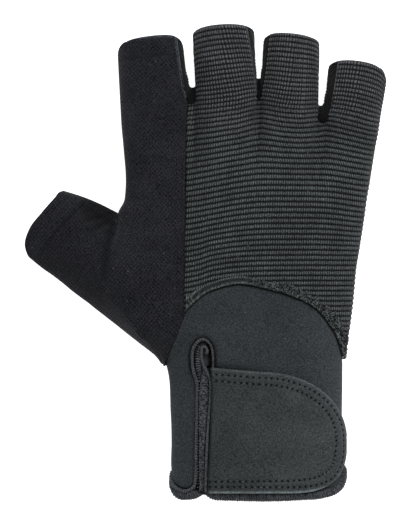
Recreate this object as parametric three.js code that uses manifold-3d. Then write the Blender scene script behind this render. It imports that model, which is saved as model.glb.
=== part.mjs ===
// Half-finger weightlifting glove for a right hand, lying palm down and seen from its back.
// Millimetres. +X runs towards the little finger, +Y towards the fingertips, +Z up from the palm.
// Every panel is a sheet with its true thickness, cut out of one hollow skin, so the seams meet.

import * as THREE from "three";
import { mergeVertices } from "three/addons/utils/BufferGeometryUtils.js";
import Module from "manifold-3d";

// Thickness of each cloth, and the gap left along every seam.
const SUEDE = 1.2;
const RIBBED = 1.6;
const SIDE_STRIP = 1.1;
const CUFF_WALL = 2.4;
const STRAP_THICK = 2.4;
const HOOK_THICK = 1.2;
const SEAM_GAP = 0.3;
const MOUTH_GAP = 0.45;
const TOLERANCE = 1e-4;

// Levels along the hand: the open hem, the seam at the wrist, the thumb's crotch and the knuckles.
const WRIST_Y = -42;
const THUMB_CROTCH_Y = 20.6;
const THUMB_HEEL_Y = -41.2;
const KNUCKLE_Y = 58;

// Roundness of the skin's sections: 2 is an ellipse, more is squarer.
const BACK_ROUND = 3;
const PALM_ROUND = 5;
const FINGER_ROUND = 2.4;
const THUMB_ROUND = 3;
// The palm would sink this much deeper than its section if the table did not flatten it.
const PALM_PRESS = 1.06;

// The hand and wrist across, a row for each level from the fingers down to the hem.
// left and right are the outline's x; height is the top of the back above the palm.
const SECTIONS = [
  { y: 76, left: -35.9, right: 75.8, height: 20 },
  { y: 58, left: -34.9, right: 73.2, height: 22 },
  { y: 34, left: -33.2, right: 69.2, height: 24.2 },
  { y: 26.5, left: -34, right: 68, height: 24.8 },
  { y: 20.6, left: -36.5, right: 67.2, height: 25 },
  { y: 6, left: -39.4, right: 65, height: 25.4 },
  { y: -4, left: -40, right: 63.4, height: 25.4 },
  { y: -16, left: -36.5, right: 62.2, height: 25 },
  { y: -28, left: -28.6, right: 60.5, height: 24.2 },
  { y: -42, left: -16.4, right: 58.1, height: 23.4 },
  { y: -52, left: -14.7, right: 57.2, height: 23.2 },
  { y: -76, left: -14.1, right: 56.9, height: 23.6 },
  { y: -100, left: -14.7, right: 57.6, height: 24 },
];

// The seam between the suede and the ribbed cloth, down the back.
const BACK_SEAM = [
  { y: 70, x: -6.9 },
  { y: 50, x: -7.6 },
  { y: 10, x: -8.4 },
  { y: -18, x: -8.8 },
  { y: -42, x: -9 },
];

// The upper edge of the cuff on the back: a dome, a row for each point from thumb to little finger.
const DOME = [
  { x: -16.4, y: -42 },
  { x: -12.2, y: -31.9 },
  { x: -7.1, y: -19.7 },
  { x: 3.8, y: -11.6 },
  { x: 14.5, y: -9.3 },
  { x: 26, y: -11.4 },
  { x: 43.7, y: -17.8 },
  { x: 53.8, y: -29.4 },
  { x: 58.1, y: -42 },
];

// The hem of the cuff: share is 0 on the middle of the back, 0.5 at the sides and 1 under the palm.
const HEM = [
  { share: 0, y: -96 },
  { share: 0.2, y: -94.9 },
  { share: 0.33, y: -92.6 },
  { share: 0.5, y: -87 },
  { share: 0.72, y: -83.6 },
  { share: 1, y: -82.8 },
];

// The finger stalls: x and y of both corners of the open end, and the height there and at the root.
const FINGERS = [
  { leftX: -36, rightX: -9.6, leftY: 93.9, rightY: 95.4, endHeight: 17, rootHeight: 19.5 },
  { leftX: -4.7, rightX: 20.9, leftY: 99.4, rightY: 100.6, endHeight: 17.5, rootHeight: 20 },
  { leftX: 25.3, rightX: 48.4, leftY: 96.6, rightY: 94.8, endHeight: 17, rootHeight: 19.5 },
  { leftX: 52.7, rightX: 75.8, leftY: 85.6, rightY: 82.6, endHeight: 16, rootHeight: 18 },
];
// How far in from each side of a stall the strip between two fingers reaches over its top.
const STRIP_INSETS = [
  { left: 0, right: 2.4 },
  { left: 0.7, right: 1 },
  { left: 1.6, right: 0.8 },
  { left: 2.6, right: 0 },
];
const PALM_STRIP = 2.4;
// The open ends are cut back at the sides and further under the palm.
const END_CUT_SIDE = 3.4;
const END_CUT_PALM = 2.2;

// The crotches between the fingers: where the two stalls part, and half the room between them.
const CROTCHES = [
  { x: -5.9, y: 68.4, half: 0.7 },
  { x: 22.9, y: 69, half: 0.8 },
  { x: 49.9, y: 60.6, half: 0.9 },
];

// Round a crotch the strip is narrower on both edges by this share, to run inside the panels.
const CROTCH_TUCK = 0.24;
const CROTCH_TUCK_FROM = 0.7;

// The thumb stall's open end: its height, its roundness, and its line in the plan from the lower
// corner to the upper one, as place goes from -1 to 1.
const THUMB_HEIGHT = 19;
const THUMB_END_ROUND = 2.3;
const THUMB_END = [
  { place: -1, x: -70.2, y: 0.3 },
  { place: -0.88, x: -73.8, y: 2.7 },
  { place: -0.7, x: -76.3, y: 7.2 },
  { place: -0.35, x: -74.6, y: 13.5 },
  { place: 0.3, x: -67.9, y: 21.5 },
  { place: 0.8, x: -62.7, y: 27.7 },
  { place: 0.93, x: -61.2, y: 29.1 },
  { place: 1, x: -59.6, y: 29.5 },
];
// How far a step back from the mouth runs across the hand, where the two surfaces' slopes are met.
const MOUTH_STEP = 0.1;

// Soft folds of the suede, each a valley from one point to another.
const FOLDS = [
  { fromX: -37.5, fromY: 17, toX: -42.4, toY: -5, width: 3, depth: 1.5 },
  { fromX: -43, fromY: 18, toX: -50, toY: 6, width: 4, depth: 0.8 },
];
// The share of a fold's length over which its depth stays the same past each end.
const FOLD_ENDS = 0.1;

// The slit up the cuff, in the plan: straight from the hem, then a round keyhole.
const SLIT = { leftX: -3.8, rightX: 4.6, neckY: -54, eyeX: -1, eyeY: -37, eyeRadius: 5.1 };
// The cords of binding: round the slit, and along the hem, each standing proud of the cuff.
const SLIT_CORD = 1.05;
const HEM_CORD = 1.75;
const CORD_PROUD = 0.5;
// The slit's binding runs down past the hem's by this much, and the hem's stops this far off it.
const SLIT_CORD_END = 3.1;
const HEM_CORD_STOP = 0.2;
// The cutter of the slit: the levels it goes through, and how far it runs past the hem.
const SLIT_CUT = { lowZ: 14, depth: 30, past: 10 };

// The rolled end of the strap, which follows the slit and ends as a comma inside the keyhole.
// lift is how far its middle stands above the cuff.
const ROLL_RADIUS = 1.3;
const ROLL = [
  { x: 0.7, y: -98, lift: 1.9 },
  { x: 0.8, y: -80, lift: 1.9 },
  { x: 1.05, y: -54, lift: 1.9 },
  { x: 0.9, y: -48.5, lift: 1.4 },
  { x: -0.1, y: -42.5, lift: 0.6 },
  { x: -1.1, y: -38.2, lift: 0.2 },
];

// The strap: a tab from the slit to a rounded tip past the side of the cuff, where the turn ends.
// Each corner starts at its x and has its own roundness.
const STRAP = { startX: 3.8, tipTurn: 0.2, tipY: -74.8, startTopY: -44.5, topY: -46.8, lowY: -96.4 };
const STRAP_TOP_CORNER = { x: 24, round: 2 };
const STRAP_LOW_CORNER = { x: 37, round: 2.8 };
const STRAP_TIP_HALF = 2.4;
// The fastener lies between the strap and the cuff, and the strap dips to the cuff at its edges.
const STRAP_LIFT = HOOK_THICK + 2 * SEAM_GAP;
const STRAP_EDGE_LIFT = CORD_PROUD + SEAM_GAP;
const STRAP_DIP_WIDTH = 4;
const HOOK = { fromX: 17, toX: 49, topY: -62, lowY: -88 };

// The gathered edge of the ribbed cloth above the dome.
// It runs from the seam to the outer side, from one share of that way to another.
const GATHER = { width: 3.8, thick: 1.2, wave: 0.3, waves: 20, from: 0.01, to: 0.985 };
// Where the dome is steep the band is wider along the hand, by up to this factor.
const GATHER_STEEPEST = 2.6;

const COLOURS = {
  suede: { color: 0x26272c, roughness: 0.95 },
  ribbed: { color: 0x35383a, roughness: 0.85 },
  strip: { color: 0x1e1f21, roughness: 0.95 },
  cuff: { color: 0x323639, roughness: 0.8 },
  strap: { color: 0x373b3d, roughness: 0.8 },
  binding: { color: 0x2c3032, roughness: 0.9 },
};

const lerp = THREE.MathUtils.lerp;
const clamp = THREE.MathUtils.clamp;
const smoothstep = THREE.MathUtils.smoothstep;

// Evenly spaced values from one number to another, both included.
function spaced(from, to, steps) {
  return Array.from({ length: steps + 1 }, (_, i) => lerp(from, to, i / steps));
}

// A table read at any place: a smooth curve through its rows, flat where a row is a peak.
function read(table, key, column, at) {
  const rows = table[0][key] < table[table.length - 1][key] ? table : [...table].reverse();
  const place = clamp(at, rows[0][key], rows[rows.length - 1][key]);
  let i = 0;
  while (i < rows.length - 2 && rows[i + 1][key] < place) i += 1;
  const rise = (k) => (rows[k + 1][column] - rows[k][column]) / (rows[k + 1][key] - rows[k][key]);
  const slope = (k) => {
    if (k === 0) return rise(0);
    if (k === rows.length - 1) return rise(k - 1);
    const before = rise(k - 1);
    const after = rise(k);
    return before * after > 0 ? (2 * before * after) / (before + after) : 0;
  };
  const step = rows[i + 1][key] - rows[i][key];
  const t = (place - rows[i][key]) / step;
  const [t2, t3] = [t * t, t * t * t];
  return (
    rows[i][column] * (2 * t3 - 3 * t2 + 1) +
    rows[i + 1][column] * (3 * t2 - 2 * t3) +
    step * (slope(i) * (t3 - 2 * t2 + t) + slope(i + 1) * (t3 - t2))
  );
}

// How full the thumb's mouth is at a level: 0 at its crotch and heel, 1 half way between.
function thumbShare(y) {
  const place = (2 * y - THUMB_CROTCH_Y - THUMB_HEEL_Y) / (THUMB_CROTCH_Y - THUMB_HEEL_Y);
  return Math.abs(place) < 1 ? 1 - Math.abs(place) ** THUMB_ROUND : 0;
}

// The hand's section at a level. At the thumb's mouth the skin doesn't close on the left side.
function section(y) {
  const left = read(SECTIONS, "y", "left", y);
  const right = read(SECTIONS, "y", "right", y);
  const height = read(SECTIONS, "y", "height", y);
  const share = thumbShare(y);
  const edge = height / 2;
  return { left, right, height, edge, leftTop: edge * (1 + share), leftLow: edge * (1 - share) };
}

// How deep the folds of the suede are at a point.
function foldDepth(x, y) {
  return FOLDS.reduce((sum, fold) => {
    const along = new THREE.Vector2(fold.toX - fold.fromX, fold.toY - fold.fromY);
    const from = new THREE.Vector2(x - fold.fromX, y - fold.fromY);
    const t = clamp(from.dot(along) / along.lengthSq(), 0, 1);
    const away = from.distanceTo(along.multiplyScalar(t));
    const ends = Math.sin(Math.PI * clamp(t, FOLD_ENDS, 1 - FOLD_ENDS));
    return sum + fold.depth * ends * Math.exp(-((away / fold.width) ** 2));
  }, 0);
}

// A closed side stands upright, at power 0.5. At the thumb's mouth the skin leaves it at a slope.
function sidePower(s, y) {
  return s < 0 ? lerp(0.5, 1, clamp(2 * thumbShare(y), 0, 1)) : 0.5;
}

function backHeight(x, y) {
  const cut = section(y);
  const s = clamp((2 * x - cut.left - cut.right) / (cut.right - cut.left), -1, 1);
  const end = s < 0 ? cut.leftTop : cut.edge;
  const arch = (1 - Math.abs(s) ** BACK_ROUND) ** sidePower(s, y);
  return end + (cut.height - end) * arch - foldDepth(x, y);
}

function palmHeight(x, y) {
  const cut = section(y);
  const s = clamp((2 * x - cut.left - cut.right) / (cut.right - cut.left), -1, 1);
  const end = s < 0 ? cut.leftLow : cut.edge;
  const arch = (1 - Math.abs(s) ** PALM_ROUND) ** sidePower(s, y);
  return Math.max(0, end * (1 - PALM_PRESS * arch));
}

// A turn brought back between -PI and PI.
function wrapTurn(turn) {
  return turn < -Math.PI ? turn + 2 * Math.PI : turn > Math.PI ? turn - 2 * Math.PI : turn;
}

// Across a stall the turn goes from PI at the left side over the top to 0 at the right side,
// and below the palm from -PI to 0. The reach is the place across, from -1 to 1.
function reach(turn, round) {
  const c = Math.cos(turn);
  return Math.sign(c) * Math.abs(c) ** (2 / round);
}

function turnAt(inset, width, round) {
  return Math.acos(clamp(1 - (2 * inset) / width, -1, 1) ** (round / 2));
}

// The root and the open end of a stall: both sides' x, and y at any place across.
function stall(k) {
  const finger = FINGERS[k];
  const before = CROTCHES[k - 1];
  const after = CROTCHES[k];
  const root = {
    leftX: before ? before.x + before.half : section(KNUCKLE_Y).left,
    rightX: after ? after.x - after.half : section(KNUCKLE_Y).right,
    leftY: before ? before.y : KNUCKLE_Y,
    rightY: after ? after.y : KNUCKLE_Y,
  };
  return { finger, root };
}

// A point on a stall's skin. along is 0 at the root and 1 at the open end.
function stallPoint(k, turn, along) {
  const { finger, root } = stall(k);
  const over = turn >= 0;
  const across = (1 + reach(turn, over ? FINGER_ROUND : PALM_ROUND)) / 2;
  const lift = Math.abs(Math.sin(turn));
  const cut = END_CUT_SIDE * (over ? (1 - lift) ** 2 : 1) + (over ? 0 : END_CUT_PALM * lift);
  const endY = lerp(finger.leftY, finger.rightY, across) - cut;
  const height = lerp(finger.rootHeight, finger.endHeight, along);
  return new THREE.Vector3(
    lerp(lerp(root.leftX, root.rightX, across), lerp(finger.leftX, finger.rightX, across), along),
    lerp(lerp(root.leftY, root.rightY, across), endY, along),
    over ? (height / 2) * (1 + lift) : Math.max(0, (height / 2) * (1 - PALM_PRESS * lift)),
  );
}

// Where a panel's edge runs on a stall: the turn at its seam with the strip, or the side itself.
function seamTurn(k, side, over) {
  const { root } = stall(k);
  const strip = STRIP_INSETS[k][side];
  const inset = strip === 0 ? 0 : over ? strip : PALM_STRIP;
  const turn = turnAt(inset, root.rightX - root.leftX, over ? FINGER_ROUND : PALM_ROUND);
  const upper = side === "left" ? Math.PI - turn : turn;
  return over ? upper : -upper;
}

// Round a crotch at the level of two seams, from the left stall to the right one.
function crotchPoint(k, leftTurn, rightTurn, round) {
  const from = stallPoint(k, leftTurn, 0);
  const to = stallPoint(k + 1, rightTurn, 0);
  const middle = from.clone().lerp(to, 0.5);
  const half = to.clone().sub(from).multiplyScalar(0.5);
  const point = middle.clone().addScaledVector(half, -Math.cos(Math.PI * round));
  point.y -= half.length() * Math.sin(Math.PI * round);
  return point;
}

// The upper row of a hand panel. Column 0 to 1 is the index finger, 1 to 2 its crotch,
// 2 to 3 the middle finger, and so on to 7 at the outer side of the little finger.
function rootPoint(column, over) {
  const place = clamp(Math.floor(column), 0, 6);
  const share = column - place;
  const k = Math.floor(place / 2);
  const right = seamTurn(k, "right", over);
  if (place % 2 === 0) return stallPoint(k, lerp(seamTurn(k, "left", over), right, share), 0);
  return crotchPoint(k, right, seamTurn(k + 1, "left", over), share);
}

// The column where the suede and the ribbed cloth meet.
const SEAM_COLUMN = 1.5;

// The x at a share of the way across the suede, or across the ribbed cloth.
function acrossAt(share, y, suede) {
  const cut = section(y);
  const seam = read(BACK_SEAM, "y", "x", y);
  return suede ? lerp(cut.left, seam, share) : lerp(seam, cut.right, share);
}

// Where a line at one share across runs down to the dome.
function domeLevel(share, suede) {
  let [low, high] = [WRIST_Y, 0];
  while (high - low > TOLERANCE) {
    const y = (low + high) / 2;
    if (read(DOME, "x", "y", acrossAt(share, y, suede)) > y) low = y;
    else high = y;
  }
  return low;
}

// A point of the hand below the crotches: level is 0 at the panel's lower edge and 1 at the roots.
function handPoint(column, level, over) {
  const root = rootPoint(column, over);
  const suede = column <= SEAM_COLUMN;
  const [low, high] = [acrossAt(0, KNUCKLE_Y, suede), acrossAt(1, KNUCKLE_Y, suede)];
  const share = clamp((root.x - low) / (high - low), 0, 1);
  const y = lerp(over ? domeLevel(share, suede) : WRIST_Y, root.y, level);
  const near = smoothstep(level, 0.5, 1);
  const x = acrossAt(share, y, suede) + near * (root.x - acrossAt(share, root.y, suede));
  const flat = over ? backHeight(x, y) : palmHeight(x, y);
  return new THREE.Vector3(x, y, lerp(flat, root.z, near));
}

// A panel of the hand and its fingers: level goes on from 1 at the roots to 2 at the open ends.
function panelPoint(column, level, over) {
  if (level <= 1) return handPoint(column, level, over);
  const k = clamp(Math.round((column - 0.5) / 2), 0, 3);
  const share = clamp(column - 2 * k, 0, 1);
  const turn = lerp(seamTurn(k, "left", over), seamTurn(k, "right", over), share);
  return stallPoint(k, turn, level - 1);
}

// The outward normal of a surface, from short steps both ways along it. At a crease the steps
// differ, and the normal halves the angle, so that both sheets are mitred alike.
function normalOf(at, u, v, side) {
  const e = 1e-3;
  const here = at(u, v);
  const mean = (after, before) => {
    const ahead = after.sub(here).normalize();
    return ahead.add(here.clone().sub(before).normalize());
  };
  const alongU = mean(at(u + e, v), at(u - e, v));
  const alongV = mean(at(u, v + e), at(u, v - e));
  return alongU.cross(alongV).normalize().multiplyScalar(side);
}

// A sheet of cloth on the surface at(u, v), thick towards the inside, from the cells that keep
// allows. Its rim is drawn in by half a seam gap. closed joins the last column to the first. side is
// 1 where a turn from the columns' direction to the rows' is seen from outside, else -1.
function sheet({ across, along, at, thick, side = 1, keep, closed = false, rim = SEAM_GAP / 2 }) {
  const facing = side * Math.sign(across[1] - across[0]);
  const columns = across.length - (closed ? 1 : 0);
  const cellColumns = across.length - 1;
  const has = (i, j) => {
    const column = closed ? (i + cellColumns) % cellColumns : i;
    const inside = column >= 0 && column < cellColumns && j >= 0 && j < along.length - 1;
    return inside && (!keep || keep(across[column], along[j]));
  };
  const surface = across.slice(0, columns).map((u) => along.map((v) => at(u, v)));
  const point = (i, j) => surface[(i + columns) % columns][j];
  const vertices = [];
  for (let i = 0; i < columns; i += 1) {
    for (let j = 0; j < along.length; j += 1) {
      const inwards = new THREE.Vector3();
      for (const [di, dj] of [[-1, -1], [0, -1], [-1, 0], [0, 0]]) {
        if (!has(i + di, j + dj)) continue;
        const toU = point(i + (di < 0 ? -1 : 1), j).clone().sub(surface[i][j]).normalize();
        const toV = point(i, j + (dj < 0 ? -1 : 1)).clone().sub(surface[i][j]).normalize();
        inwards.add(toU).add(toV);
      }
      const cells = [has(i - 1, j - 1), has(i, j - 1), has(i - 1, j), has(i, j)].filter(Boolean).length;
      const outer = surface[i][j].clone();
      if (cells > 0 && cells < 4) outer.addScaledVector(inwards.normalize(), rim);
      const inner = outer.clone().addScaledVector(normalOf(at, across[i], along[j], facing), -thick);
      vertices.push(outer, inner);
    }
  }
  const index = (i, j, inside) => 2 * (((i + columns) % columns) * along.length + j) + inside;
  const faces = [];
  const quad = (a, b, c, d) => (side > 0 ? faces.push(a, b, c, a, c, d) : faces.push(a, c, b, a, d, c));
  for (let i = 0; i < cellColumns; i += 1) {
    for (let j = 0; j < along.length - 1; j += 1) {
      if (!has(i, j)) continue;
      const corners = [[i, j], [i + 1, j], [i + 1, j + 1], [i, j + 1]];
      const neighbours = [[i, j - 1], [i + 1, j], [i, j + 1], [i - 1, j]];
      quad(...corners.map(([a, b]) => index(a, b, 0)));
      quad(...corners.map(([a, b]) => index(a, b, 1)).reverse());
      neighbours.forEach(([a, b], n) => {
        if (has(a, b)) return;
        const [p, q] = [corners[n], corners[(n + 1) % 4]];
        quad(index(...q, 0), index(...p, 0), index(...p, 1), index(...q, 1));
      });
    }
  }
  const geometry = new THREE.BufferGeometry().setFromPoints(vertices);
  geometry.setIndex(faces);
  return mergeVertices(geometry.toNonIndexed(), 1e-4);
}

const wasm = await Module();
wasm.setup();

function toSolid(geometry) {
  const bare = new THREE.BufferGeometry();
  bare.setAttribute("position", geometry.getAttribute("position"));
  if (geometry.index) bare.setIndex(geometry.index);
  const merged = mergeVertices(bare, 1e-4);
  const vertProperties = merged.attributes.position.array;
  const triVerts = new Uint32Array(merged.index.array);
  return new wasm.Manifold(new wasm.Mesh({ numProp: 3, vertProperties, triVerts }));
}

function fromSolid(solid) {
  const mesh = solid.getMesh();
  const geometry = new THREE.BufferGeometry();
  geometry.setAttribute("position", new THREE.BufferAttribute(mesh.vertProperties, 3));
  geometry.setIndex(new THREE.BufferAttribute(mesh.triVerts, 1));
  return geometry;
}

// A round cord of cloth along a smooth line through points.
function cord(points, radius, steps) {
  const shape = new THREE.Shape().absarc(0, 0, radius, 0, 2 * Math.PI);
  const path = new THREE.CatmullRomCurve3(points, false, "centripetal");
  return new THREE.ExtrudeGeometry(shape, { steps, extrudePath: path, curveSegments: 4 });
}

// The stations shared by all that meets the thumb's mouth, so that both edges have the same corners.
const MOUTH_TURNS = [Math.PI, ...spaced(0.8 * Math.PI, 0.2 * Math.PI, 6), 0];

// The rows of a hand panel: through the thumb's mouth, on to the roots, and up the stalls.
function panelRows(over) {
  const rootY = rootPoint(0, over).y;
  const levels = MOUTH_TURNS.map((turn) => (mouthLevel(turn) - WRIST_Y) / (rootY - WRIST_Y));
  const above = spaced(levels[levels.length - 1], 1, 4).slice(1);
  return [0, ...levels, ...above, ...spaced(1, 2, 4).slice(1)];
}

// The columns of a hand panel from one column to another: steps across each stall, four a crotch.
function panelColumns(from, to, steps) {
  const columns = FINGERS.flatMap((_, k) => [
    ...spaced(2 * k, 2 * k + 1, steps),
    ...spaced(2 * k + 1, 2 * k + 2, 4).slice(1, -1),
  ]);
  return columns.filter((u) => u >= from && u <= to);
}

// Above the roots the cloth stops at each crotch.
function belowCrotch(column, level) {
  return Math.floor(column + TOLERANCE) % 2 === 0 || level < 1 - TOLERANCE;
}

function mouthLevel(turn) {
  return lerp(THUMB_HEEL_Y, THUMB_CROTCH_Y, (1 + reach(turn, THUMB_ROUND)) / 2);
}

// Past its edge at the thumb's mouth, a hand panel's surface goes on as the thumb stall's.
function pastMouth(column, level, over) {
  const edge = panelPoint(Math.max(column, 0), level, over);
  if (column >= 0 || edge.y <= THUMB_HEEL_Y || edge.y >= THUMB_CROTCH_Y) return edge;
  const place = (2 * edge.y - THUMB_CROTCH_Y - THUMB_HEEL_Y) / (THUMB_CROTCH_Y - THUMB_HEEL_Y);
  const turn = Math.acos(Math.sign(place) * Math.abs(place) ** (THUMB_ROUND / 2));
  return thumbPoint(over ? turn : -turn, -column);
}

function indexPanel() {
  return sheet({
    across: [...spaced(0, 1, 7), 1.25, SEAM_COLUMN],
    along: panelRows(true),
    at: (u, v) => pastMouth(u, v, true),
    thick: SUEDE,
    keep: belowCrotch,
  });
}

function backPanel() {
  return sheet({
    across: panelColumns(SEAM_COLUMN, 7, 6),
    along: [...spaced(0, 1, 10), ...spaced(1, 2, 4).slice(1)],
    at: (u, v) => panelPoint(u, v, true),
    thick: RIBBED,
    keep: belowCrotch,
  });
}

function palmPanel() {
  return sheet({
    across: panelColumns(0, 7, 5),
    along: panelRows(false),
    at: (u, v) => pastMouth(u, v, false),
    thick: SUEDE,
    side: -1,
    rim: SEAM_GAP,
    keep: belowCrotch,
  });
}

// A strip between two fingers: down the side of one stall, round the crotch and up the next.
// run is 0 at the left finger's end, 1 to 2 round the crotch and 3 at the right finger's end.
function stripPanel(k) {
  const leftTurns = [seamTurn(k, "right", true), seamTurn(k, "right", false)];
  const rightTurns = [seamTurn(k + 1, "left", true), seamTurn(k + 1, "left", false) + 2 * Math.PI];
  const point = (run, drop) => {
    const tuck = CROTCH_TUCK * smoothstep(1.5 - Math.abs(run - 1.5), CROTCH_TUCK_FROM, 1);
    const leftTurn = lerp(leftTurns[0], leftTurns[1], lerp(tuck, 1 - tuck, drop));
    const rightTurn = lerp(rightTurns[0], rightTurns[1], lerp(tuck, 1 - tuck, drop));
    const wrapped = rightTurn > Math.PI ? rightTurn - 2 * Math.PI : rightTurn;
    if (run < 1) return stallPoint(k, leftTurn, 1 - run);
    if (run > 2) return stallPoint(k + 1, wrapped, run - 2);
    return crotchPoint(k, leftTurn, wrapped, run - 1);
  };
  return sheet({
    across: [...spaced(0, 1, 4), 1.25, 1.5, 1.75, ...spaced(2, 3, 4)],
    along: spaced(0, 1, 5),
    at: point,
    thick: SIDE_STRIP,
  });
}

// The thumb stall, as a tube from its mouth on the hand to its open end.
function thumbPoint(turn, along) {
  const over = turn >= 0;
  const lift = Math.abs(Math.sin(turn));
  const place = reach(turn, lerp(THUMB_ROUND, over ? THUMB_END_ROUND : PALM_ROUND, along));
  const mouthY = mouthLevel(turn);
  const mouth = section(mouthY);
  const x = lerp(mouth.left, read(THUMB_END, "place", "x", place), along);
  const y = lerp(mouthY, read(THUMB_END, "place", "y", place), along);
  const mouthZ = over ? mouth.leftTop : mouth.leftLow;
  const endZ = (THUMB_HEIGHT / 2) * (over ? 1 + lift : 1 - PALM_PRESS * lift);
  const fold = over ? foldDepth(x, y) : 0;
  return new THREE.Vector3(x, y, Math.max(0, lerp(mouthZ, endZ, along) - fold));
}

// Behind its mouth the thumb stall's surface goes on as the hand's.
function throughMouth(turn, along) {
  const at = wrapTurn(turn);
  if (along >= 0) return thumbPoint(at, along);
  const mouth = thumbPoint(at, 0);
  const x = mouth.x - MOUTH_STEP * along;
  return new THREE.Vector3(x, mouth.y, at >= 0 ? backHeight(x, mouth.y) : palmHeight(x, mouth.y));
}

function thumbStall() {
  return sheet({
    across: [...MOUTH_TURNS, ...MOUTH_TURNS.slice(0, -1).reverse().map((turn) => -turn)],
    along: [0, 0.08, 0.25, 0.45, 0.65, 0.85, 1],
    at: throughMouth,
    thick: SUEDE,
    closed: true,
    rim: MOUTH_GAP,
  });
}

// The skin of the cuff: turn goes from PI at the thumb's side over the back to 0 and under to -PI.
function cuffSkin(turn, y) {
  const over = turn >= 0;
  const level = Math.min(y, WRIST_Y);
  const cut = section(level);
  const place = reach(turn, over ? BACK_ROUND : PALM_ROUND);
  const x = lerp(cut.left, cut.right, (1 + place) / 2);
  return new THREE.Vector3(x, y, over ? backHeight(x, y) : palmHeight(x, level));
}

function hemLevel(turn) {
  return read(HEM, "share", "y", (1 - Math.sin(turn)) / 2);
}

// A point of the cuff: level is 0 at the hem and 1 at the dome, or at the wrist under the palm.
function cuffPoint(turn, level) {
  const at = wrapTurn(turn);
  const top = at > 0 ? read(DOME, "x", "y", cuffSkin(at, WRIST_Y).x) : WRIST_Y;
  return cuffSkin(at, lerp(hemLevel(at), top, level));
}

// The slit in the plan, from well below the hem, drawn in by a margin.
function slitLine(margin) {
  const [left, right] = [SLIT.leftX + margin, SLIT.rightX - margin];
  const radius = SLIT.eyeRadius - margin;
  const bend = (SLIT.neckY + SLIT.eyeY) / 2;
  const line = new THREE.Path();
  line.moveTo(left, HEM[0].y - SLIT_CUT.past);
  line.lineTo(left, SLIT.neckY);
  line.bezierCurveTo(left, bend, SLIT.eyeX - radius, bend, SLIT.eyeX - radius, SLIT.eyeY);
  line.absarc(SLIT.eyeX, SLIT.eyeY, radius, Math.PI, 0, true);
  line.bezierCurveTo(SLIT.eyeX + radius, bend, right, bend, right, SLIT.neckY);
  line.lineTo(right, HEM[0].y - SLIT_CUT.past);
  return line;
}

function cuff() {
  const tube = sheet({
    across: spaced(Math.PI, -Math.PI, 44),
    along: spaced(0, 1, 6),
    at: cuffPoint,
    thick: CUFF_WALL,
    closed: true,
    rim: SEAM_GAP,
  });
  const outline = new THREE.Shape(slitLine(0).getPoints(6));
  const cutter = new THREE.ExtrudeGeometry(outline, { depth: SLIT_CUT.depth, bevelEnabled: false });
  cutter.translate(0, 0, SLIT_CUT.lowZ);
  return fromSolid(toSolid(tube).subtract(toSolid(cutter)));
}

// A point above the back of the cuff, by its place in the plan.
function aboveCuff(x, y, lift) {
  return new THREE.Vector3(x, y, backHeight(x, y) + lift);
}

function slitBinding() {
  const low = HEM[0].y - SLIT_CORD_END;
  const line = slitLine(SLIT_CORD + SEAM_GAP).getPoints(8);
  const points = line.map((p) => aboveCuff(p.x, Math.max(p.y, low), CORD_PROUD - SLIT_CORD));
  return cord(points, SLIT_CORD, 44);
}

// A short turn along the hem, for its direction.
const HEM_STEP = 0.01;

// The turn on the back of the cuff at an x.
function backTurn(x, y) {
  const cut = section(y);
  const place = (2 * x - cut.left - cut.right) / (cut.right - cut.left);
  return Math.acos(Math.sign(place) * Math.abs(place) ** (BACK_ROUND / 2));
}

function hemBinding() {
  const from = backTurn(SLIT.leftX - HEM_CORD_STOP, HEM[0].y);
  const to = backTurn(SLIT.rightX + HEM_CORD_STOP, HEM[0].y);
  const points = spaced(from, 2 * Math.PI + to, 48).map((turn) => {
    const at = wrapTurn(turn);
    const proud = CORD_PROUD * Math.max(0, Math.sin(at));
    const onHem = (t) => cuffSkin(wrapTurn(t), hemLevel(wrapTurn(t)));
    const edge = onHem(at);
    const normal = normalOf(cuffSkin, at, edge.y, -1);
    const down = onHem(at - HEM_STEP).sub(edge).cross(normal).normalize();
    edge.addScaledVector(down, 1.5 * SEAM_GAP + HEM_CORD);
    return edge.addScaledVector(normal, proud - HEM_CORD);
  });
  return cord(points, HEM_CORD, 60);
}

function strapRoll() {
  return cord(ROLL.map((row) => aboveCuff(row.x, row.y, row.lift)), ROLL_RADIUS, 24);
}

// The strap's upper and lower edges at a place along it.
function strapEdges(x, tipX) {
  const topHeight = lerp(STRAP.startTopY, STRAP.topY, clamp(x / STRAP_TOP_CORNER.x, 0, 1)) - STRAP.tipY;
  const corner = (start, round) => {
    const share = clamp((x - start) / (tipX - start), 0, 1);
    return (1 - share ** round) ** (1 / round);
  };
  const top = topHeight * corner(STRAP_TOP_CORNER.x, STRAP_TOP_CORNER.round);
  const low = (STRAP.tipY - STRAP.lowY) * corner(STRAP_LOW_CORNER.x, STRAP_LOW_CORNER.round);
  return [STRAP.tipY + Math.max(top, STRAP_TIP_HALF), STRAP.tipY - Math.max(low, STRAP_TIP_HALF)];
}

// A point off the skin of the cuff, outwards.
function offCuff(turn, y, away) {
  return cuffSkin(turn, y).addScaledVector(normalOf(cuffSkin, turn, y, -1), away);
}

function wristStrap() {
  const tipX = offCuff(STRAP.tipTurn, STRAP.tipY, STRAP_LIFT + STRAP_THICK).x;
  return sheet({
    across: spaced(backTurn(STRAP.startX, STRAP.tipY), STRAP.tipTurn, 14),
    along: spaced(0, 1, 9),
    at: (turn, share) => {
      const x = offCuff(turn, STRAP.tipY, STRAP_LIFT + STRAP_THICK).x;
      const [top, low] = strapEdges(x, tipX);
      const y = lerp(low, top, share);
      const toEdge = Math.min(y - low, top - y, tipX - x);
      const lift = lerp(STRAP_EDGE_LIFT, STRAP_LIFT, smoothstep(toEdge, 0, STRAP_DIP_WIDTH));
      return offCuff(turn, y, lift + STRAP_THICK);
    },
    thick: STRAP_THICK,
  });
}

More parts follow.
